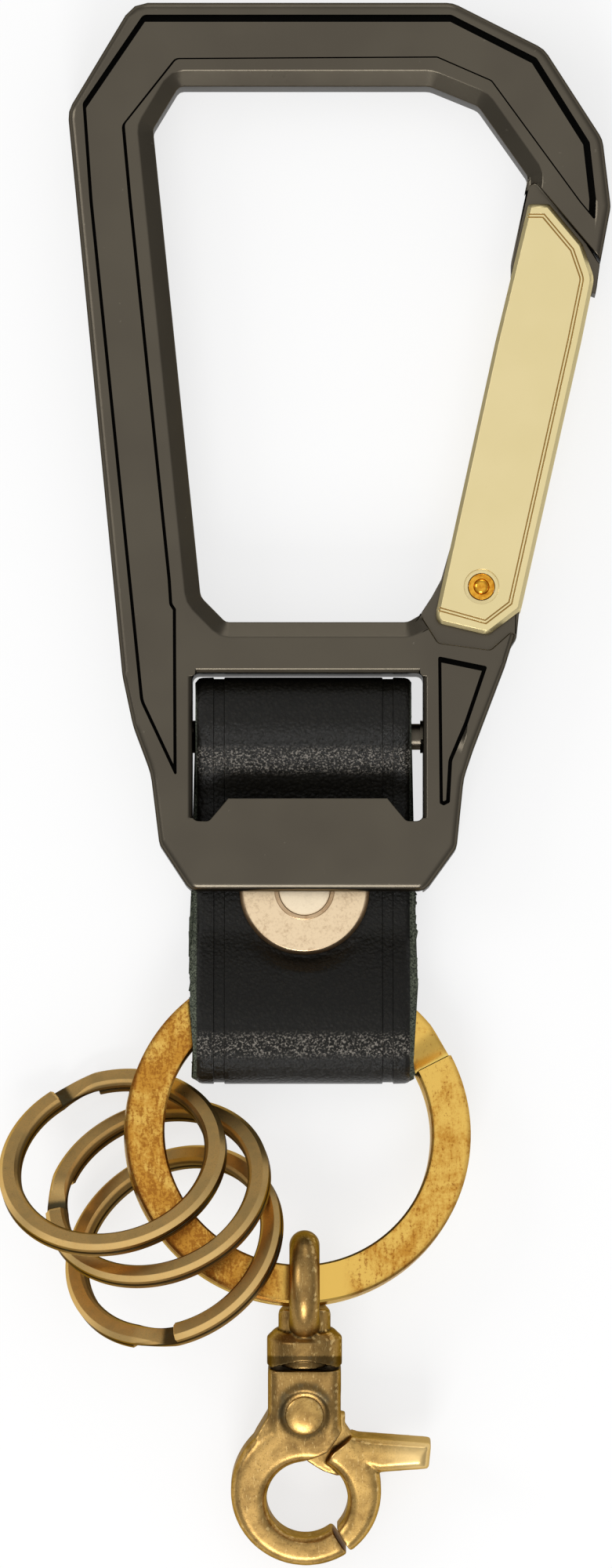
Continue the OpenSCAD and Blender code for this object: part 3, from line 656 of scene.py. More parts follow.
@dataclass(frozen=True)
class BlackLeather(Finish):
    """Black grained leather with ragged dark green raw edges.

    Attributes:
        middle: Place of the strap's middle across its width.
        half_width: Half the strap's width, where the raw edge begins.
        seam: Height of the seam between the two layers, along Z.
        joined: Middle and half length of the seam, along Y.
        bends: Place of each bend along Y that gets painted glints, and its half width, faint and
            full.
    """

    name: str = "black leather"
    base: Colour = srgb(12, 11, 8)
    shade: Colour = srgb(25, 23, 18)
    raw: Colour = srgb(116, 122, 104)
    deep: Colour = srgb(24, 28, 24)
    gap: Colour = srgb(8, 9, 8)
    # Colour of the painted glints on the bends
    painted_glint: Colour = srgb(134, 128, 119)
    middle: float = -0.1
    half_width: float = 9.9
    seam: float = 2.6
    joined: Point2 = (-7.6, 6.6)
    bends: Tuple[Point3, Point3] = ((2.2, 1.6, 0.7), (-24.0, 1.5, 0.5))
    rough: float = 0.32
    metal: float = 0.0
    level: float = 0.2

    def paint(self) -> Material:
        """Builds the material.

        Returns:
            The material.
        """
        g = self.graph()
        spot = g.place()
        x, y, z = (g.axis(spot, name) for name in "XYZ")
        pebble = g.add("ShaderNodeTexVoronoi", {"feature": "SMOOTH_F1"}, {
            "Vector": spot, "Scale": 1.0 / (0.34 * MM), "Smoothness": 0.4, "Randomness": 1.0},
            "Distance")
        crease = g.noise(spot, 0.42, 4.0, 0.72, 0.4)
        pore = g.noise(spot, 0.14, 3.0, 0.7)
        broad = g.noise(spot, 5.0, 3.0)
        fuzz = g.noise(spot, 0.16, 4.0, 0.75)
        side = (abs(x - self.middle) + pore.swing(0.12)).step(
            self.half_width - 0.16, self.half_width)
        seam = abs(z - self.seam).step(0.14, 0.04) * abs(y - self.joined[0]).step(
            self.joined[1], self.joined[1] - 0.4)
        # The bends get painted glints in their grain, a painted highlight
        upper, lower = (abs(y - place).step(faint, full) for place, faint, full in self.bends)
        painted_glint = g.noise(spot, 0.2, 3.0, 0.7).step(0.5, 0.64) * (upper + lower) * z.step(5.0, 6.0)
        raw = g.coats(self.deep, (fuzz.step(0.36, 0.66), self.raw), (seam * 0.8, self.gap))
        colour = g.coats(self.shade, (pebble.step(0.1, 0.6) * 0.7 + broad * 0.3, self.base),
                         (painted_glint * 0.9, self.painted_glint), (side, raw))
        rough = self.rough + crease.swing(0.25) + broad.swing(0.12) + side * 0.45
        grain = g.bump((1 - pebble) * 0.5 + crease * 0.5 + pore * 0.35, 0.11)
        return self.close(g, colour, rough, Normal=g.bump(fuzz * side, 0.16, grain))


class Palette:
    """The finishes that several pieces share, each built once."""

    def __init__(self) -> None:
        """Builds the materials."""
        self.gunmetal = Gunmetal().paint()
        # Near black: painted shade in the casting's grooves
        self.groove = Plain("groove plating", srgb(11, 11, 10), srgb(20, 19, 17), 0.55,
                            graze=(0.05, 0.05, 0.05), metal=0.6, level=0.2).paint()
        self.champagne = Champagne().paint()
        # Darker gold: painted shade in the gate's fine lines
        self.line = Plain("gate line gold", srgb(152, 114, 52), srgb(190, 152, 82), 0.42,
                          grain=(0.3, 3.0, 0.6), depth=0.004).paint()
        self.polished = Plain("polished brass", srgb(232, 172, 60), srgb(190, 120, 30), 0.16,
                              grain=(0.5, 3.0, 0.55), swing=0.1, depth=0.004,
                              scuffs=(0.35, 0.75)).paint()
        self.mottled = MottledBrass().paint()
        self.antique = AntiqueBrass().paint()
        self.rubbed = AntiqueBrass("rubbed brass", srgb(204, 166, 98), srgb(128, 96, 52),
                                   neck=-40.0, dirty=0.0).paint()
        self.bronze = PaleBronze().paint()
        self.spring = Plain("spring steel", srgb(150, 150, 148), srgb(110, 110, 108),
                            grain=(0.3, 2.0, 0.55), swing=0.1, depth=0.0).paint()
        self.leather = BlackLeather().paint()


class Bench:
    """Modelling steps that every sub-assembly uses."""

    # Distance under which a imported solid's points are joined
    MERGE = 0.02
    # Angles in degrees: flat faces joined, edges rounded from, shaded smooth up to
    FLAT, SHARP, SMOOTH = 0.6, 28.0, 40.0
    # Cosine under which two faces lie back on each other
    FOLDED = -0.9999

    @staticmethod
    def take(piece: Piece) -> None:
        """Makes one piece the only one selected and active.

        Args:
            piece: The piece.
        """
        if bpy.context.object and bpy.context.object.mode != "OBJECT":
            bpy.ops.object.mode_set(mode="OBJECT")
        bpy.ops.object.select_all(action="DESELECT")
        piece.select_set(True)
        bpy.context.view_layer.objects.active = piece

    @staticmethod
    @contextmanager
    def editing(piece: Piece, select: str = "SELECT") -> Iterator[None]:
        """Holds a piece in edit mode.

        Args:
            piece: The piece.
            select: What is done to its selection first, SELECT or DESELECT.

        Yields:
            Nothing.
        """
        Bench.take(piece)
        bpy.ops.object.mode_set(mode="EDIT")
        bpy.ops.mesh.select_all(action=select)
        yield
        bpy.ops.object.mode_set(mode="OBJECT")

    @staticmethod
    def modify(piece: Piece, kind: str, **settings: Setting) -> None:
        """Adds one modifier and applies it.

        Args:
            piece: The piece.
            kind: The modifier's type.
            settings: Its settings.
        """
        Bench.take(piece)
        modifier = piece.modifiers.new(kind.lower(), kind)
        for key, value in settings.items():
            setattr(modifier, key, value)
        bpy.ops.object.modifier_apply(modifier=modifier.name)

    @staticmethod
    def copy_node(node: str, name: str) -> Piece:
        """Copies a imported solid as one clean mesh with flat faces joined.

        Args:
            node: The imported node.
            name: The copy's name.

        Returns:
            The copy.
        """
        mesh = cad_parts[node].data.copy()
        mesh.materials.clear()
        piece = bpy.data.objects.new(name, mesh)
        bpy.context.scene.collection.objects.link(piece)
        with Bench.editing(piece):
            bpy.ops.mesh.remove_doubles(threshold=Bench.MERGE * MM)
            bpy.ops.mesh.dissolve_limited(angle_limit=math.radians(Bench.FLAT))
        Bench.unfold(piece)
        return piece

    @staticmethod
    def neighbours(piece: Piece) -> Iterator[Tuple[bpy.types.MeshEdge, List[Face]]]:
        """Goes through a piece's edges, each with the faces beside it.

        Args:
            piece: The piece.

        Yields:
            The edge and its faces.
        """
        beside: Dict[Tuple[int, int], List[Face]] = {}
        for face in piece.data.polygons:
            for key in face.edge_keys:
                beside.setdefault(key, []).append(face)
        for edge in piece.data.edges:
            yield edge, beside.get(edge.key, [])

    @staticmethod
    def unfold(piece: Piece) -> None:
        """Joins flat faces that the cleaning left folded back on each other.

        Args:
            piece: The piece.
        """
        folds = [edge.index for edge, faces in Bench.neighbours(piece)
                 if len(faces) == 2 and faces[0].normal.dot(faces[1].normal) < Bench.FOLDED]
        with Bench.editing(piece, "DESELECT"):
            bpy.ops.mesh.select_mode(type="EDGE")
        for index in folds:
            piece.data.edges[index].select = True
        if folds:
            bpy.ops.object.mode_set(mode="EDIT")
            bpy.ops.mesh.dissolve_edges(use_verts=False)
            bpy.ops.object.mode_set(mode="OBJECT")
            LOG.info("%s: %d folds joined", piece.name, len(folds))

    @staticmethod
    def soften(piece: Piece, width: float, segments: int = 3) -> None:
        """Rounds a piece's edges and keeps its flats flat.

        Edges with a bevel weight are rounded, to the full width; a piece that has none gets its
        sharp edges rounded as far as there is room.

        Args:
            piece: The piece.
            width: Width of the rounding.
            segments: Its number of faces.
        """
        weighed = "bevel_weight_edge" in piece.data.attributes
        Bench.modify(piece, "BEVEL", width=width * MM, segments=segments,
                     limit_method="WEIGHT" if weighed else "ANGLE",
                     angle_limit=math.radians(Bench.SHARP), use_clamp_overlap=not weighed,
                     miter_outer="MITER_SHARP" if weighed else "MITER_ARC")
        Bench.take(piece)
        bpy.ops.object.shade_smooth_by_angle(angle=math.radians(Bench.SMOOTH))
        Bench.modify(piece, "WEIGHTED_NORMAL", keep_sharp=True)

    @staticmethod
    def melt(piece: Piece, voxel: float, rounds: int) -> None:
        """Turns a piece into one cast skin with soft edges.

        Args:
            piece: The piece.
            voxel: Size of the skin's faces.
            rounds: Number of smoothing rounds.
        """
        piece.data.transform(Matrix.Scale(ENLARGE, 4))
        Bench.modify(piece, "REMESH", mode="VOXEL", voxel_size=voxel * MM * ENLARGE)
        Bench.modify(piece, "SMOOTH", factor=0.5, iterations=rounds)
        piece.data.transform(Matrix.Scale(1.0 / ENLARGE, 4))
        Bench.take(piece)
        bpy.ops.object.shade_smooth()

    @staticmethod
    def place(piece: Piece, material: Material, body: Body, slot: Slot, *nodes: str) -> None:
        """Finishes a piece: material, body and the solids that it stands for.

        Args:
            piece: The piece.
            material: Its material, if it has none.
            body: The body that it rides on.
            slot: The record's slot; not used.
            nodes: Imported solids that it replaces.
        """
        if not piece.data.materials:
            piece.data.materials.append(material)
        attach(piece, body.value)
        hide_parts(*nodes)
        LOG.info("%s: %d faces", piece.name, len(piece.data.polygons))

    @staticmethod
    def dress(node: str, material: Material) -> None:
        """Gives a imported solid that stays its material.

        Args:
            node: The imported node.
            material: The material.
        """
        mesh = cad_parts[node].data
        mesh.materials.clear()
        mesh.materials.append(material)
        LOG.info("%s: dressed", node)


@dataclass
class Clip:
    """The cast clip with its sprung gate and the gate's pivot.

    Attributes:
        edge, gate_edge, pin_edge: Rounding of the casting, the gate and the bush.
        sharp: Least angle of a casting's edge that is rounded.
        round_above: Height above which the casting's edges are rounded.
        front: Height of the front faces.
        groove, line: Depth of the casting's grooves and of the gate's fine lines.
        chamfer, eased: Depth of the opening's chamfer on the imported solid, and here.
    """

    palette: Palette
    edge: float = 0.12
    gate_edge: float = 0.05
    pin_edge: float = 0.06
    sharp: float = 32.0
    round_above: float = 6.5
    front: float = 8.0
    groove: float = 0.9
    line: float = 0.14
    chamfer: float = 1.45
    eased: float = 1.25

    def mark(self, piece: Piece, depth: float, slack: float, *finishes: Material) -> None:
        """Gives the floors and walls of the cuts in a front face their own finish, a painted
        shade.

        Args:
            piece: The piece.
            depth: Depth of the cuts.
            slack: How far a floor may be from there.
            finishes: Finish of the face and the painted shade of the cuts.
        """
        mesh = piece.data
        mesh.materials.clear()
        for finish in finishes:
            mesh.materials.append(finish)
        for face in mesh.polygons:
            lowest = min(mesh.vertices[i].co.z for i in face.vertices)
            down = abs(lowest - (self.front - depth) * MM) < slack * MM
            slanting = 0.15 < abs(face.normal.z) < 0.9
            face.material_index = 1 if down and not slanting else 0

    def ease_chamfer(self, casting: Piece) -> None:
        """Raises the lower line of the opening's chamfer.

        Args:
            casting: The casting.
        """
        for vertex in casting.data.vertices:
            if abs(vertex.co.z - (self.front - self.chamfer) * MM) < Bench.MERGE * MM:
                vertex.co.z = (self.front - self.eased) * MM

    def weigh_edges(self, casting: Piece) -> None:
        """Marks the sharp edges of the casting's front for rounding, all but the grooves'.

        Args:
            casting: The casting, with its grooves marked.
        """
        mesh = casting.data
        weights = mesh.attributes.new("bevel_weight_edge", "FLOAT", "EDGE")
        for edge, faces in Bench.neighbours(casting):
            low = min(mesh.vertices[i].co.z for i in edge.vertices) < self.round_above * MM
            plain = len(faces) == 2 and not low and not any(f.material_index for f in faces)
            weights.data[edge.index].value = float(
                plain and faces[0].normal.angle(faces[1].normal, 0.0) > math.radians(self.sharp))

    def build(self) -> None:
        """Makes and places all the clip's pieces."""
        looks = self.palette
        casting = Bench.copy_node("carabiner_frame", "clip_casting")
        # The grooves' floors and walls get painted shade
        self.mark(casting, self.groove, 0.03, looks.gunmetal, looks.groove)
        self.ease_chamfer(casting)
        self.weigh_edges(casting)
        Bench.soften(casting, self.edge)
        Bench.place(casting, looks.gunmetal, Body.CLIP, Slot.GUNMETAL, "carabiner_frame")
        gate = Bench.copy_node("gate", "gate_casting")
        # The gate's fine lines get painted shade
        self.mark(gate, self.line, 0.02, looks.champagne, looks.line)
        Bench.soften(gate, self.gate_edge, 2)
        Bench.place(gate, looks.champagne, Body.GATE, Slot.CHAMPAGNE, "gate")
        bush = Bench.copy_node("pivot_bush", "gate_bush")
        Bench.soften(bush, self.pin_edge, 2)
        Bench.place(bush, looks.polished, Body.CLIP, Slot.CHAMPAGNE, "pivot_bush")
        Bench.dress("gate_pin", looks.polished)
        Bench.dress("gate_spring", looks.spring)


def rounded(corners: Sequence[Point3], steps: int) -> List[Point2]:
    """Rounds the corners of a closed outline.

    Args:
        corners: Corners as x, y and radius.
        steps: Faces on each corner.

    Returns:
        The outline's points.
    """
    points: List[Point2] = []
    for i, (x, y, radius) in enumerate(corners):
        here = Vector((x, y))
        before = (Vector(corners[i - 1][:2]) - here).normalized()
        after = (Vector(corners[(i + 1) % len(corners)][:2]) - here).normalized()
        half = before.angle(after) / 2
        centre = here + (before + after).normalized() * radius / math.sin(half)
        first = here + before * radius / math.tan(half) - centre
        last = here + after * radius / math.tan(half) - centre
        start = math.atan2(first.y, first.x)
        turn = math.atan2(last.y, last.x) - start
        turn = (turn + math.pi) % (2 * math.pi) - math.pi
        for angle in (start + turn * k / steps for k in range(steps + 1)):
            points.append((centre.x + radius * math.cos(angle),
                           centre.y + radius * math.sin(angle)))
    return points


def spaced(line: Sequence[Point2], gap: float) -> List[Point2]:
    """Adds points along the long sides of a closed outline.

    Args:
        line: The outline.
        gap: Greatest distance between its points.

    Returns:
        The finer outline.
    """
    points: List[Point2] = []
    for i, (x, y) in enumerate(line):
        u, v = line[(i + 1) % len(line)]
        count = max(1, math.ceil(math.hypot(u - x, v - y) / gap))
        points += [(x + (u - x) * k / count, y + (v - y) * k / count) for k in range(count)]
    return points


def held(value: float, least: float, most: float) -> float:
    """Holds a value between its least and its greatest."""
    return min(max(value, least), most)


@dataclass
class Strap:
    """The folded leather strap with its rivet.

    The side profile runs about the crossbar: x along the clip and y up from the table.

    Attributes:
        bar_y: Place of the crossbar along Y.
        middle, half_width: Place of the strap's middle along X, and half its width.
        step: Distance between the points of the side profile.
        pressed: Places across the strap, from its middle, and how deep its face lies there:
            rounded at the cut side and pressed in a creased line.
        plain: Further places across the strap that get points.
        ragged: Greatest reach of a raw fibre past the cut side.
        fibres: Scale of the noise of the coarse fibres and of the fine ones.
        frayed, worn_in: Place along Y below the clip where the side is ragged, and how far it is
            worn in at most.
        lumpy: Places along Y between which the side is lumpy as well.
        fade: Length in which either begins.
        loose: Scale and reach of the noise that makes the rounded edges uneven.
        cap, cap_edge: The rivet cap's x, y and radius, and the rounding of its edges.
        seat: Height of the leather under the cap, and its slope beside it.
        smooth: Greatest angle that is shaded smooth.
    """

    palette: Palette
    bar_y: float = 4.5
    middle: float = -0.1
    half_width: float = 9.9
    step: float = 0.22
    pressed: Tuple[Point2, ...] = ((9.9, 0.46), (9.78, 0.26), (9.6, 0.11), (9.3, 0.03),
                                   (8.28, 0.0), (8.22, 0.14), (7.3, 0.14), (7.24, 0.0))
    plain: Tuple[float, ...] = (6.4, 5.6, 4.8, 4.0, 3.2, 2.4, 1.6, 0.8)
    ragged: float = 0.72
    fibres: Point2 = (2.1, 5.3)
    frayed: float = -7.5
    worn_in: float = -0.3
    lumpy: Point2 = (-8.5, -22.0)
    fade: float = 1.5
    loose: Point2 = (0.31, 0.08)
    cap: Point3 = (0.0, -9.6, 6.0)
    cap_edge: float = 0.06
    seat: Point2 = (4.36, 1.2)
    smooth: float = 50.0

    def profile(self) -> Tuple[List[Point2], List[List[Point2]]]:
        """Draws the side profile.

        Returns:
            The outer outline and the two hollows of the folded strap.
        """
        outer = [(5.45, 0, 3.3), (5.45, 7.95, 3.3), (0.5, 7.95, 4), (-5.5, 4.35, 4),
                 (-18, 4.35, 4), (-25.5, 7.95, 4), (-31.95, 7.95, 3.3), (-31.95, 0, 3.3),
                 (-24, 0, 4), (-18, 0.85, 4), (-9.5, 0.85, 4), (-2.3, 0, 4)]
        upper = [(3.85, 1.6, 1.7), (3.85, 6.35, 1.7), (-0.25, 6.35, 1.6), (-5.5, 2.7, 0.1),
                 (-5.5, 2.45, 0.1), (-2.3, 1.6, 1.6)]
        lower = [(-19.6, 2.47, 0.1), (-19.62, 2.75, 0.1), (-20.4, 4.65, 0.3), (-25.5, 6.35, 4),
                 (-30.35, 6.35, 1.2), (-30.35, 1.6, 1.2), (-21.6, 1.6, 4)]
        return (spaced(rounded(outer, 10), self.step),
                [spaced(rounded(hollow, 6), self.step) for hollow in (upper, lower)])

    def skin(self) -> Piece:
        """Cuts the strap from its side profile, to its full width.

        Returns:
            The strap, enlarged.
        """
        outer, hollows = self.profile()
        curve = bpy.data.curves.new("strap_side", "CURVE")
        curve.dimensions = "2D"
        curve.fill_mode = "BOTH"
        for line in [outer] + hollows:
            spline = curve.splines.new("POLY")
            spline.points.add(len(line) - 1)
            for point, (x, y) in zip(spline.points, line):
                point.co = (x * MM * ENLARGE, y * MM * ENLARGE, 0.0, 1.0)
            spline.use_cyclic_u = True
        piece = bpy.data.objects.new("strap_leather", curve)
        bpy.context.scene.collection.objects.link(piece)
        Bench.take(piece)
        bpy.ops.object.convert(target="MESH")
        width = 2 * self.half_width * MM * ENLARGE
        with Bench.editing(piece):
            bpy.ops.mesh.remove_doubles(threshold=1e-5)
            bpy.ops.mesh.extrude_region_move(TRANSFORM_OT_translate={"value": (0, 0, width)})
            bpy.ops.mesh.select_all(action="SELECT")
            bpy.ops.mesh.normals_make_consistent(inside=False)
        # Side profile's x becomes Y, its y becomes Z, and the width runs along X
        piece.data.transform(Matrix(((0, 0, 1, 0), (1, 0, 0, 0), (0, 1, 0, 0), (0, 0, 0, 1))))
        piece.data.transform(Matrix.Translation(Vector((
            self.middle - self.half_width, self.bar_y, 0)) * MM * ENLARGE))
        return piece

    def cut_across(self, piece: Piece, places: Iterable[float]) -> None:
        """Adds lines of points round the strap.

        Args:
            piece: The strap.
            places: Place of each line across the strap, from its middle.
        """
        with Bench.editing(piece):
            for x in places:
                bpy.ops.mesh.select_all(action="SELECT")
                bpy.ops.mesh.bisect(plane_co=((x + self.middle) * MM * ENLARGE, 0, 0),
                                    plane_no=(1, 0, 0))

    def rim(self) -> Tuple[kdtree.KDTree, List[Vector]]:
        """Finds the way into the leather all along the profile.

        Returns:
            The profile's points as a search tree, and the way at each, which is none in a hollow.
        """
        outer, hollows = self.profile()
        points: List[Point2] = []
        ways: List[Vector] = []
        for line, side in [(outer, 1.0)] + [(hollow, 0.0) for hollow in hollows]:
            for i, point in enumerate(line):
                way = Vector(line[(i + 1) % len(line)]) - Vector(line[i - 1])
                points.append(point)
                ways.append(Vector((-way.y, way.x)).normalized() * side)
        tree = kdtree.KDTree(len(points))
        for i, (x, y) in enumerate(points):
            tree.insert((x + self.bar_y, y, 0.0), i)
        tree.balance()
        return tree, ways

    def fray(self, across: float, y: float, z: float) -> float:
        """Finds how far a raw fibre stands out of the cut side.

        Args:
            across: Place across the strap, from its middle.
            y: Place along the strap.
            z: Height.

        Returns:
            Its reach, below 0 where the side is worn in.
        """
        coarse, fine = self.fibres
        fibre = noise.noise(Vector((y * coarse, z * coarse, across))) * 0.6 + noise.noise(
            Vector((y * fine, z * fine, across + 7.0))) * 0.6
        below = held((self.frayed - y) / self.fade, 0.15, 1.0)
        lump = held((self.lumpy[0] - y) / self.fade, 0.0, 1.0) * held(
            (y - self.lumpy[1]) / 2.0, 0.0, 1.0)
        return max(fibre + 0.45 * lump, self.worn_in) * self.ragged * below

    def press(self, piece: Piece) -> None:
        """Presses the creased lines, rounds the outer face's cut edges and frays the sides.

        Args:
            piece: The strap, enlarged and cut across.
        """
        tree, ways = self.rim()
        size, reach = self.loose
        x0, y0, radius = self.cap
        for vertex in piece.data.vertices:
            x, y, z = (c / (MM * ENLARGE) for c in vertex.co)
            across = x - self.middle
            _, index, _ = tree.find((y, z, 0.0))
            way = ways[index]
            depth = next((d for place, d in self.pressed if abs(abs(across) - place) < 0.01), 0.0)
            # The creased lines are pressed evenly, the rounded edges are loose
            if depth > 0.15:
                depth += noise.noise(Vector((x * size, y * size, z * size))) * reach
            if depth and way.length > 0.5:
                shift = way * depth * MM * ENLARGE
                vertex.co += Vector((0, shift.x, shift.y))
            near = math.hypot(x - x0, y - y0)
            seat = self.seat[0] + max(0.0, near - radius - 0.3) * self.seat[1]
            if near < radius + 1.5 and z > seat and y < y0:
                vertex.co.z = seat * MM * ENLARGE
            if abs(abs(across) - self.half_width) < 0.01:
                vertex.co.x += math.copysign(self.fray(across, y, z) * MM * ENLARGE, across)

    def build(self) -> None:
        """Makes and places the strap and its rivet."""
        piece = self.skin()
        marks = [place for place, _ in self.pressed if place < self.half_width]
        marks += self.plain
        self.cut_across(piece, [-m for m in marks] + [0.0] + marks)
        self.press(piece)
        piece.data.transform(Matrix.Scale(1.0 / ENLARGE, 4))
        Bench.take(piece)
        bpy.ops.object.shade_smooth_by_angle(angle=math.radians(self.smooth))
        Bench.place(piece, self.palette.leather, Body.STRAP, Slot.LEATHER, "leather_strap")
        cap = Bench.copy_node("rivet_cap", "rivet_cap_turned")
        Bench.soften(cap, self.cap_edge)
        Bench.place(cap, self.palette.bronze, Body.STRAP, Slot.BRONZE, "rivet_cap")
        Bench.dress("rivet_post", self.palette.bronze)


@dataclass
class SplitRing:
    """A flat coil of two turns whose wire passes from one level to the other in a joggle.

    Attributes:
        radius, wire: Radius of its rim, and width of the wire.
        bevel: Bevel of the rim's outer edges.
        start: Angle at which the upper turn starts.
        node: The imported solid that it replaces.
        turn: Thickness of one turn.
        joggle, faces: Angle that the joggle takes, and its faces.
        hand: 1 or -1, the way that the wire runs round.
        waist, end: Share of the wire's size in the joggle's middle, and at its ends.
        pace: Angle of each face outside the joggle.
        slit: Gap between the turns.
        soft: Bevel of the other edges.
        blunt: Length of the wire's rounded ends.
        smooth: Greatest angle that is shaded smooth.
    """

    name: str
    radius: float
    wire: float
    bevel: float
    start: float
    place: Matrix
    body: Body
    slot: Slot
    material: Material
    node: str
    turn: float = 0.82
    joggle: float = 24.0
    faces: int = 14
    hand: int = 1
    waist: float = 0.9
    pace: float = 1.8
    slit: float = 0.06
    soft: float = 0.05
    blunt: float = 0.1
    end: float = 0.88
    smooth: float = 30.0

    def section(self) -> List[Point2]:
        """The wire's section with small corners: places across the wire and up through it."""
        w, t, b = self.wire / 2, self.turn / 2, self.soft
        return [(-w, b - t), (b - w, -t), (w - b, -t), (w, b - t),
                (w, t - b), (w - b, t), (b - w, t), (-w, t - b)]

    def path(self) -> List[Tuple[float, float, float, float]]:
        """Follows the wire.

        Returns:
            Angle, height, share of full size and share of the lower turn at each section.
        """
        level = (self.slit + self.turn) / 2
        whole = 360.0 - self.joggle
        tip = math.degrees(self.blunt / self.radius)
        count = int(whole / self.pace)
        points = [(0.0, level, self.end, 0.0), (tip, level, 1.0, 0.0)]
        points += [(whole * i / count, level, 1.0, 0.0) for i in range(1, count + 1)]
        for k in (i / self.faces for i in range(1, self.faces)):
            smooth = k * k * (3 - 2 * k)
            points.append((whole + self.joggle * k, level * (1 - 2 * smooth),
                           1.0 - (1.0 - self.waist) * math.sin(math.pi * k), smooth))
        points += [(360.0 + whole * i / count, -level, 1.0, 1.0) for i in range(count)]
        return points + [(360.0 + whole - tip, -level, 1.0, 1.0),
                         (360.0 + whole, -level, self.end, 1.0)]

    def shaped(self, x: float, z: float, share: float) -> Point2:
        """Gives a section point its turn's bevels.

        Args:
            x: Place across the wire.
            z: Place up through the wire.
            share: Share of the lower turn, whose bevels are below.

        Returns:
            The point's new places across and up.
        """
        w, t = self.wire / 2, self.turn / 2
        size = max(self.soft, self.bevel * ((1 - share) if z > 0 else share))
        if abs(x) > w - self.soft / 2:
            return x, math.copysign(t - size, z)
        return math.copysign(w - size, x), z

    def build(self) -> None:
        """Spins the section along the wire, shapes it and places the ring."""
        line = self.section()
        steps = self.path()
        count = len(line)
        mean = self.radius - self.wire / 2
        bpy.ops.object.select_all(action="DESELECT")
        bpy.ops.mesh.primitive_circle_add(vertices=count, radius=self.wire * MM * ENLARGE)
        piece = bpy.context.object
        piece.name = self.name
        for vertex, (x, z) in zip(piece.data.vertices, line):
            vertex.co = Vector((mean + x, 0.0, z)) * MM * ENLARGE
        # Spun nearly twice round, to have one section for each step of the path
        with Bench.editing(piece):
            bpy.ops.mesh.spin(steps=len(steps) - 1, angle=math.radians(700.0),
                              center=(0, 0, 0), axis=(0, 0, 1), use_auto_merge=False)
        for i, vertex in enumerate(piece.data.vertices):
            angle, height, size, share = steps[i // count]
            place = vertex.co / (MM * ENLARGE)
            across, up = self.shaped(math.hypot(place.x, place.y) - mean, place.z, share)
            turned = math.radians(self.start + self.hand * angle)
            reach = mean + across * size
            vertex.co = Vector((reach * math.cos(turned), reach * math.sin(turned),
                                height + up * size)) * MM * ENLARGE
        with Bench.editing(piece):
            bpy.ops.mesh.fill_holes(sides=0)
            bpy.ops.mesh.select_all(action="SELECT")
            bpy.ops.mesh.normals_make_consistent(inside=False)
        piece.data.transform(Matrix.Scale(1.0 / ENLARGE, 4))
        piece.data.transform(self.place)
        bpy.ops.object.shade_smooth_by_angle(angle=math.radians(self.smooth))
        Bench.place(piece, self.material, self.body, self.slot, self.node)


def lie(place: Point3, turn: Point3) -> Matrix:
    """Gives the place of a ring that lies turned.

    Args:
        place: Its centre.
        turn: Its turn about X, then Y, then Z.

    Returns:
        The matrix, in metres.
    """
    x, y, z = (math.radians(a) for a in turn)
    return (Matrix.Translation(Vector(place) * MM) @ Matrix.Rotation(z, 4, "Z")
            @ Matrix.Rotation(y, 4, "Y") @ Matrix.Rotation(x, 4, "X"))


@dataclass
class Rings:
    """The flat key ring and the three small rings on it.

    Attributes:
        small: Each small ring's word, body, centre, turns about Y and Z, and the
            angle at which its wire starts.
    """

    palette: Palette
    small: Tuple[Tuple[str, Body, Point3, float, float, float], ...] = (
        ("upper", Body.RING_UPPER, (-17.6, -34.72, 7.46), 39.19, 106.47, 20.0),
        ("middle", Body.RING_MIDDLE, (-13.43, -37.55, 7.59), 40.39, 112.86, 75.0),
        ("lower", Body.RING_LOWER, (-11.95, -42.48, 7.3), 38.25, 125.94, 152.0),
    )

    def build(self) -> None:
        """Makes and places all four rings."""
        loop = MottledBrass()
        SplitRing(name="key_ring_coil", radius=loop.outer, wire=loop.outer - loop.inner,
                  bevel=0.2, start=27.3, place=lie(loop.centre, loop.turn), body=Body.KEY_RING,
                  slot=Slot.GOLD_BRASS, material=self.palette.mottled, node="key_ring",
                  turn=1.12, joggle=12.0, hand=-1, waist=0.96, pace=2.5).build()
        for word, body, centre, lean, towards, start in self.small:
            look = RingBrass("ring brass " + word, centre=centre, turn=(0.0, lean, towards))
            SplitRing(name="small_ring_coil_" + word, radius=look.outer, wire=1.95, bevel=0.44,
                      start=start, place=lie(look.centre, look.turn), body=body,
                      slot=Slot.ANTIQUE, material=look.paint(), node="small_ring_" + word).build()


@dataclass
class TriggerHook:
    """The swivel eye and the cast hook with its trigger.

    Attributes:
        voxel, pin_voxel: Size of the castings' faces and of the pin's.
    """

    palette: Palette
    voxel: float = 0.11
    pin_voxel: float = 0.07

    def build(self) -> None:
        """Makes and places the hook's pieces."""
        looks = self.palette
        for node, name, body, finish, voxel, rounds in (
            ("swivel_eye", "swivel_eye_cast", Body.EYE, looks.antique, self.voxel, 8),
            ("hook_body", "hook_cast", Body.HOOK, looks.antique, self.voxel, 30),
            ("trigger", "trigger_cast", Body.TRIGGER, looks.rubbed, self.voxel, 20),
            ("trigger_pin", "trigger_pin_domed", Body.HOOK, looks.rubbed, self.pin_voxel, 4),
        ):
            piece = Bench.copy_node(node, name)
            Bench.melt(piece, voxel, rounds)
            Bench.place(piece, finish, body, Slot.ANTIQUE, node)
        Bench.dress("trigger_spring", looks.spring)


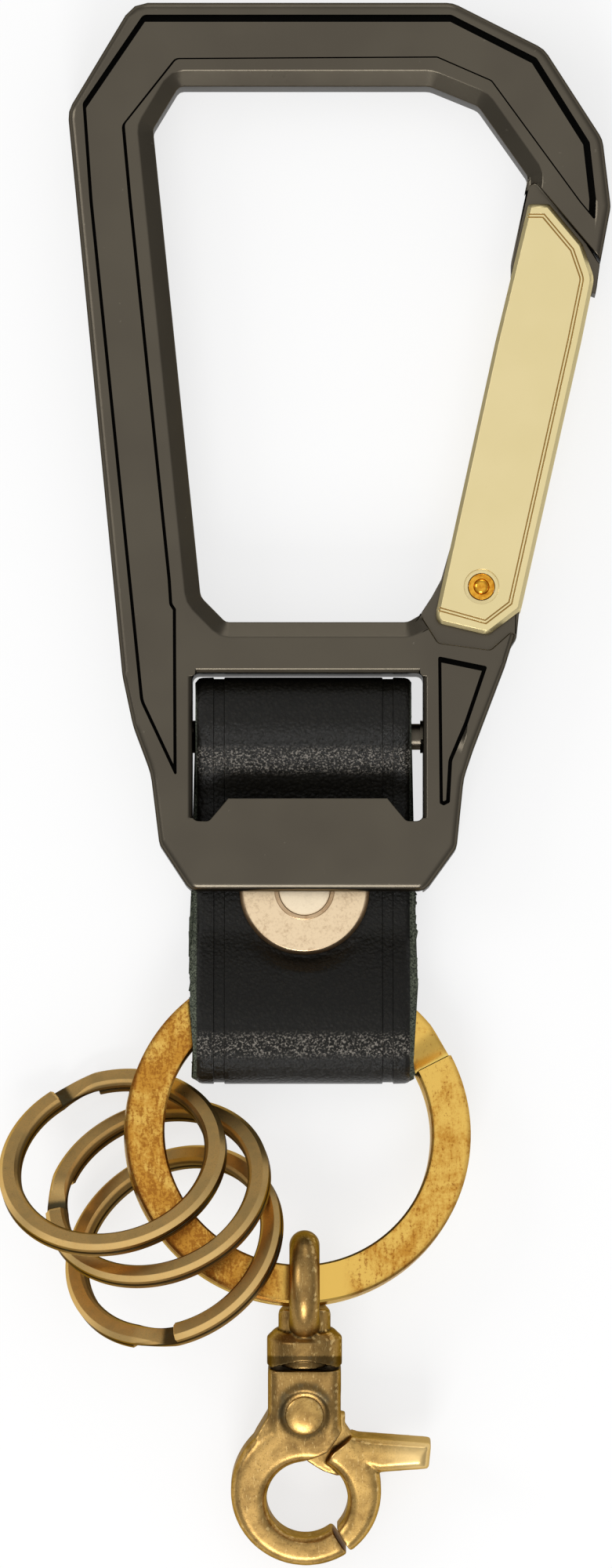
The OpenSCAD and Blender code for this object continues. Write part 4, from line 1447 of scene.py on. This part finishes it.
@dataclass
class Studio:
    """Floor, lamps, world and camera.

    Attributes:
        pixel, rows: Size of one of the photo's pixels on the keychain, and its rows.
        tilt: Lean of the view from straight above.
        distance, aim: Distance of the camera, and the point that it looks at.
        floor_side, floor_z, floor_grey: Size, height and grey of the floor.
        glow: Share of even white that the camera and reflections see in it.
        lamps: Name, place, side and power in watts of each square lamp.
        sky: Height in the room, from 0 at the horizon to 1 above, and grey of its light there.
    """

    pixel: float = 0.072
    tilt: float = 2.2
    distance: float = 1500.0
    aim: Point3 = (0.14, 0.0, 8.0)
    rows: int = 2000
    sensor: float = 36.0
    floor_side: float = 6000.0
    floor_z: float = -0.1
    floor_grey: float = 0.93
    glow: float = 0.72
    lamps: Tuple[Tuple[str, Point3, float, float], ...] = (
        ("front_lamp", (-60, -590, 430), 260, 2.3),
        ("side_lamp", (-560, 180, 420), 280, 1.0),
        ("back_lamp", (60, 700, 170), 300, 0.4),
    )
    sky: Tuple[Point2, ...] = ((0.0, 0.34), (0.35, 0.42), (0.7, 0.66), (0.9, 0.95), (1.0, 1.0))

    def camera(self) -> None:
        """Sets the camera to the photograph's view."""
        data = bpy.data.cameras.new("studio_camera")
        data.sensor_fit = "VERTICAL"
        data.sensor_height = self.sensor
        data.lens = self.sensor * self.distance / (self.pixel * self.rows)
        data.clip_start = 0.01
        data.clip_end = 20.0
        camera = bpy.data.objects.new("studio_camera", data)
        bpy.context.scene.collection.objects.link(camera)
        lean = math.radians(self.tilt)
        camera.location = (Vector(self.aim) + Vector((0, -math.sin(lean), math.cos(lean)))
                           * self.distance) * MM
        camera.rotation_euler = (lean, 0, 0)
        bpy.context.scene.camera = camera

    def light(self) -> None:
        """Hangs the square soft lamps, which face the keychain."""
        for name, place, size, power in self.lamps:
            data = bpy.data.lights.new(name, "AREA")
            data.shape = "SQUARE"
            data.size = size * MM
            data.energy = power
            lamp = bpy.data.objects.new(name, data)
            bpy.context.scene.collection.objects.link(lamp)
            lamp.location = Vector(place) * MM
            lamp.rotation_euler = Vector(place).to_track_quat("Z", "Y").to_euler()

    def floor(self) -> None:
        """Lays the pale floor, white to the camera but for the object's shadow."""
        bpy.ops.object.select_all(action="DESELECT")
        bpy.ops.mesh.primitive_plane_add(size=self.floor_side * MM,
                                         location=(0, 0, self.floor_z * MM))
        floor = bpy.context.object
        floor.name = "floor"
        g = Graph(bpy.data.materials.new("pale floor"))
        pale = g.principled(Base_Color=[self.floor_grey] * 3, Roughness=0.9,
                            Specular_IOR_Level=0.1)
        glow = g.add("ShaderNodeEmission", None, {"Color": WHITE, "Strength": 1.0})
        seen, glossy = (g.add("ShaderNodeLightPath", output=name)
                        for name in ("Is Camera Ray", "Is Glossy Ray"))
        share = (seen + glossy).lowest(1.0) * self.glow
        g.show(g.add("ShaderNodeMixShader", None, [share, pale, glow]))
        floor.data.materials.append(g.owner)

    def world(self) -> None:
        """Lights the room: bright above, dim at the horizon, white behind the object."""
        world = bpy.data.worlds.new("studio_world")
        bpy.context.scene.world = world
        g = Graph(world, "ShaderNodeOutputWorld")
        way = g.add("ShaderNodeTexCoord", output="Generated")
        height = g.add("ShaderNodeSeparateXYZ", None, [way], "Z")
        light = g.add("ShaderNodeValToRGB", {"stops": self.sky}, [height])
        seen = g.add("ShaderNodeLightPath", output="Is Camera Ray")
        g.show(g.add("ShaderNodeBackground", None, {
            "Color": g.coats(light, (seen, WHITE)), "Strength": 1.0}))

    def build(self) -> None:
        """Sets up the whole studio."""
        bpy.context.scene.view_settings.view_transform = "Standard"
        self.camera()
        self.floor()
        self.world()
        self.light()


def main() -> None:
    """Builds every sub-assembly in order."""
    logging.basicConfig(level=logging.INFO, format="%(name)s: %(message)s")
    Studio().build()
    palette = Palette()
    steps: Tuple[Tuple[str, Callable[[], None]], ...] = (
        ("clip and gate", Clip(palette).build),
        ("strap", Strap(palette).build),
        ("rings", Rings(palette).build),
        ("trigger hook", TriggerHook(palette).build),
    )
    for name, build in steps:
        build()
        LOG.info("%s done", name)


if __name__ == "__main__":
    main()
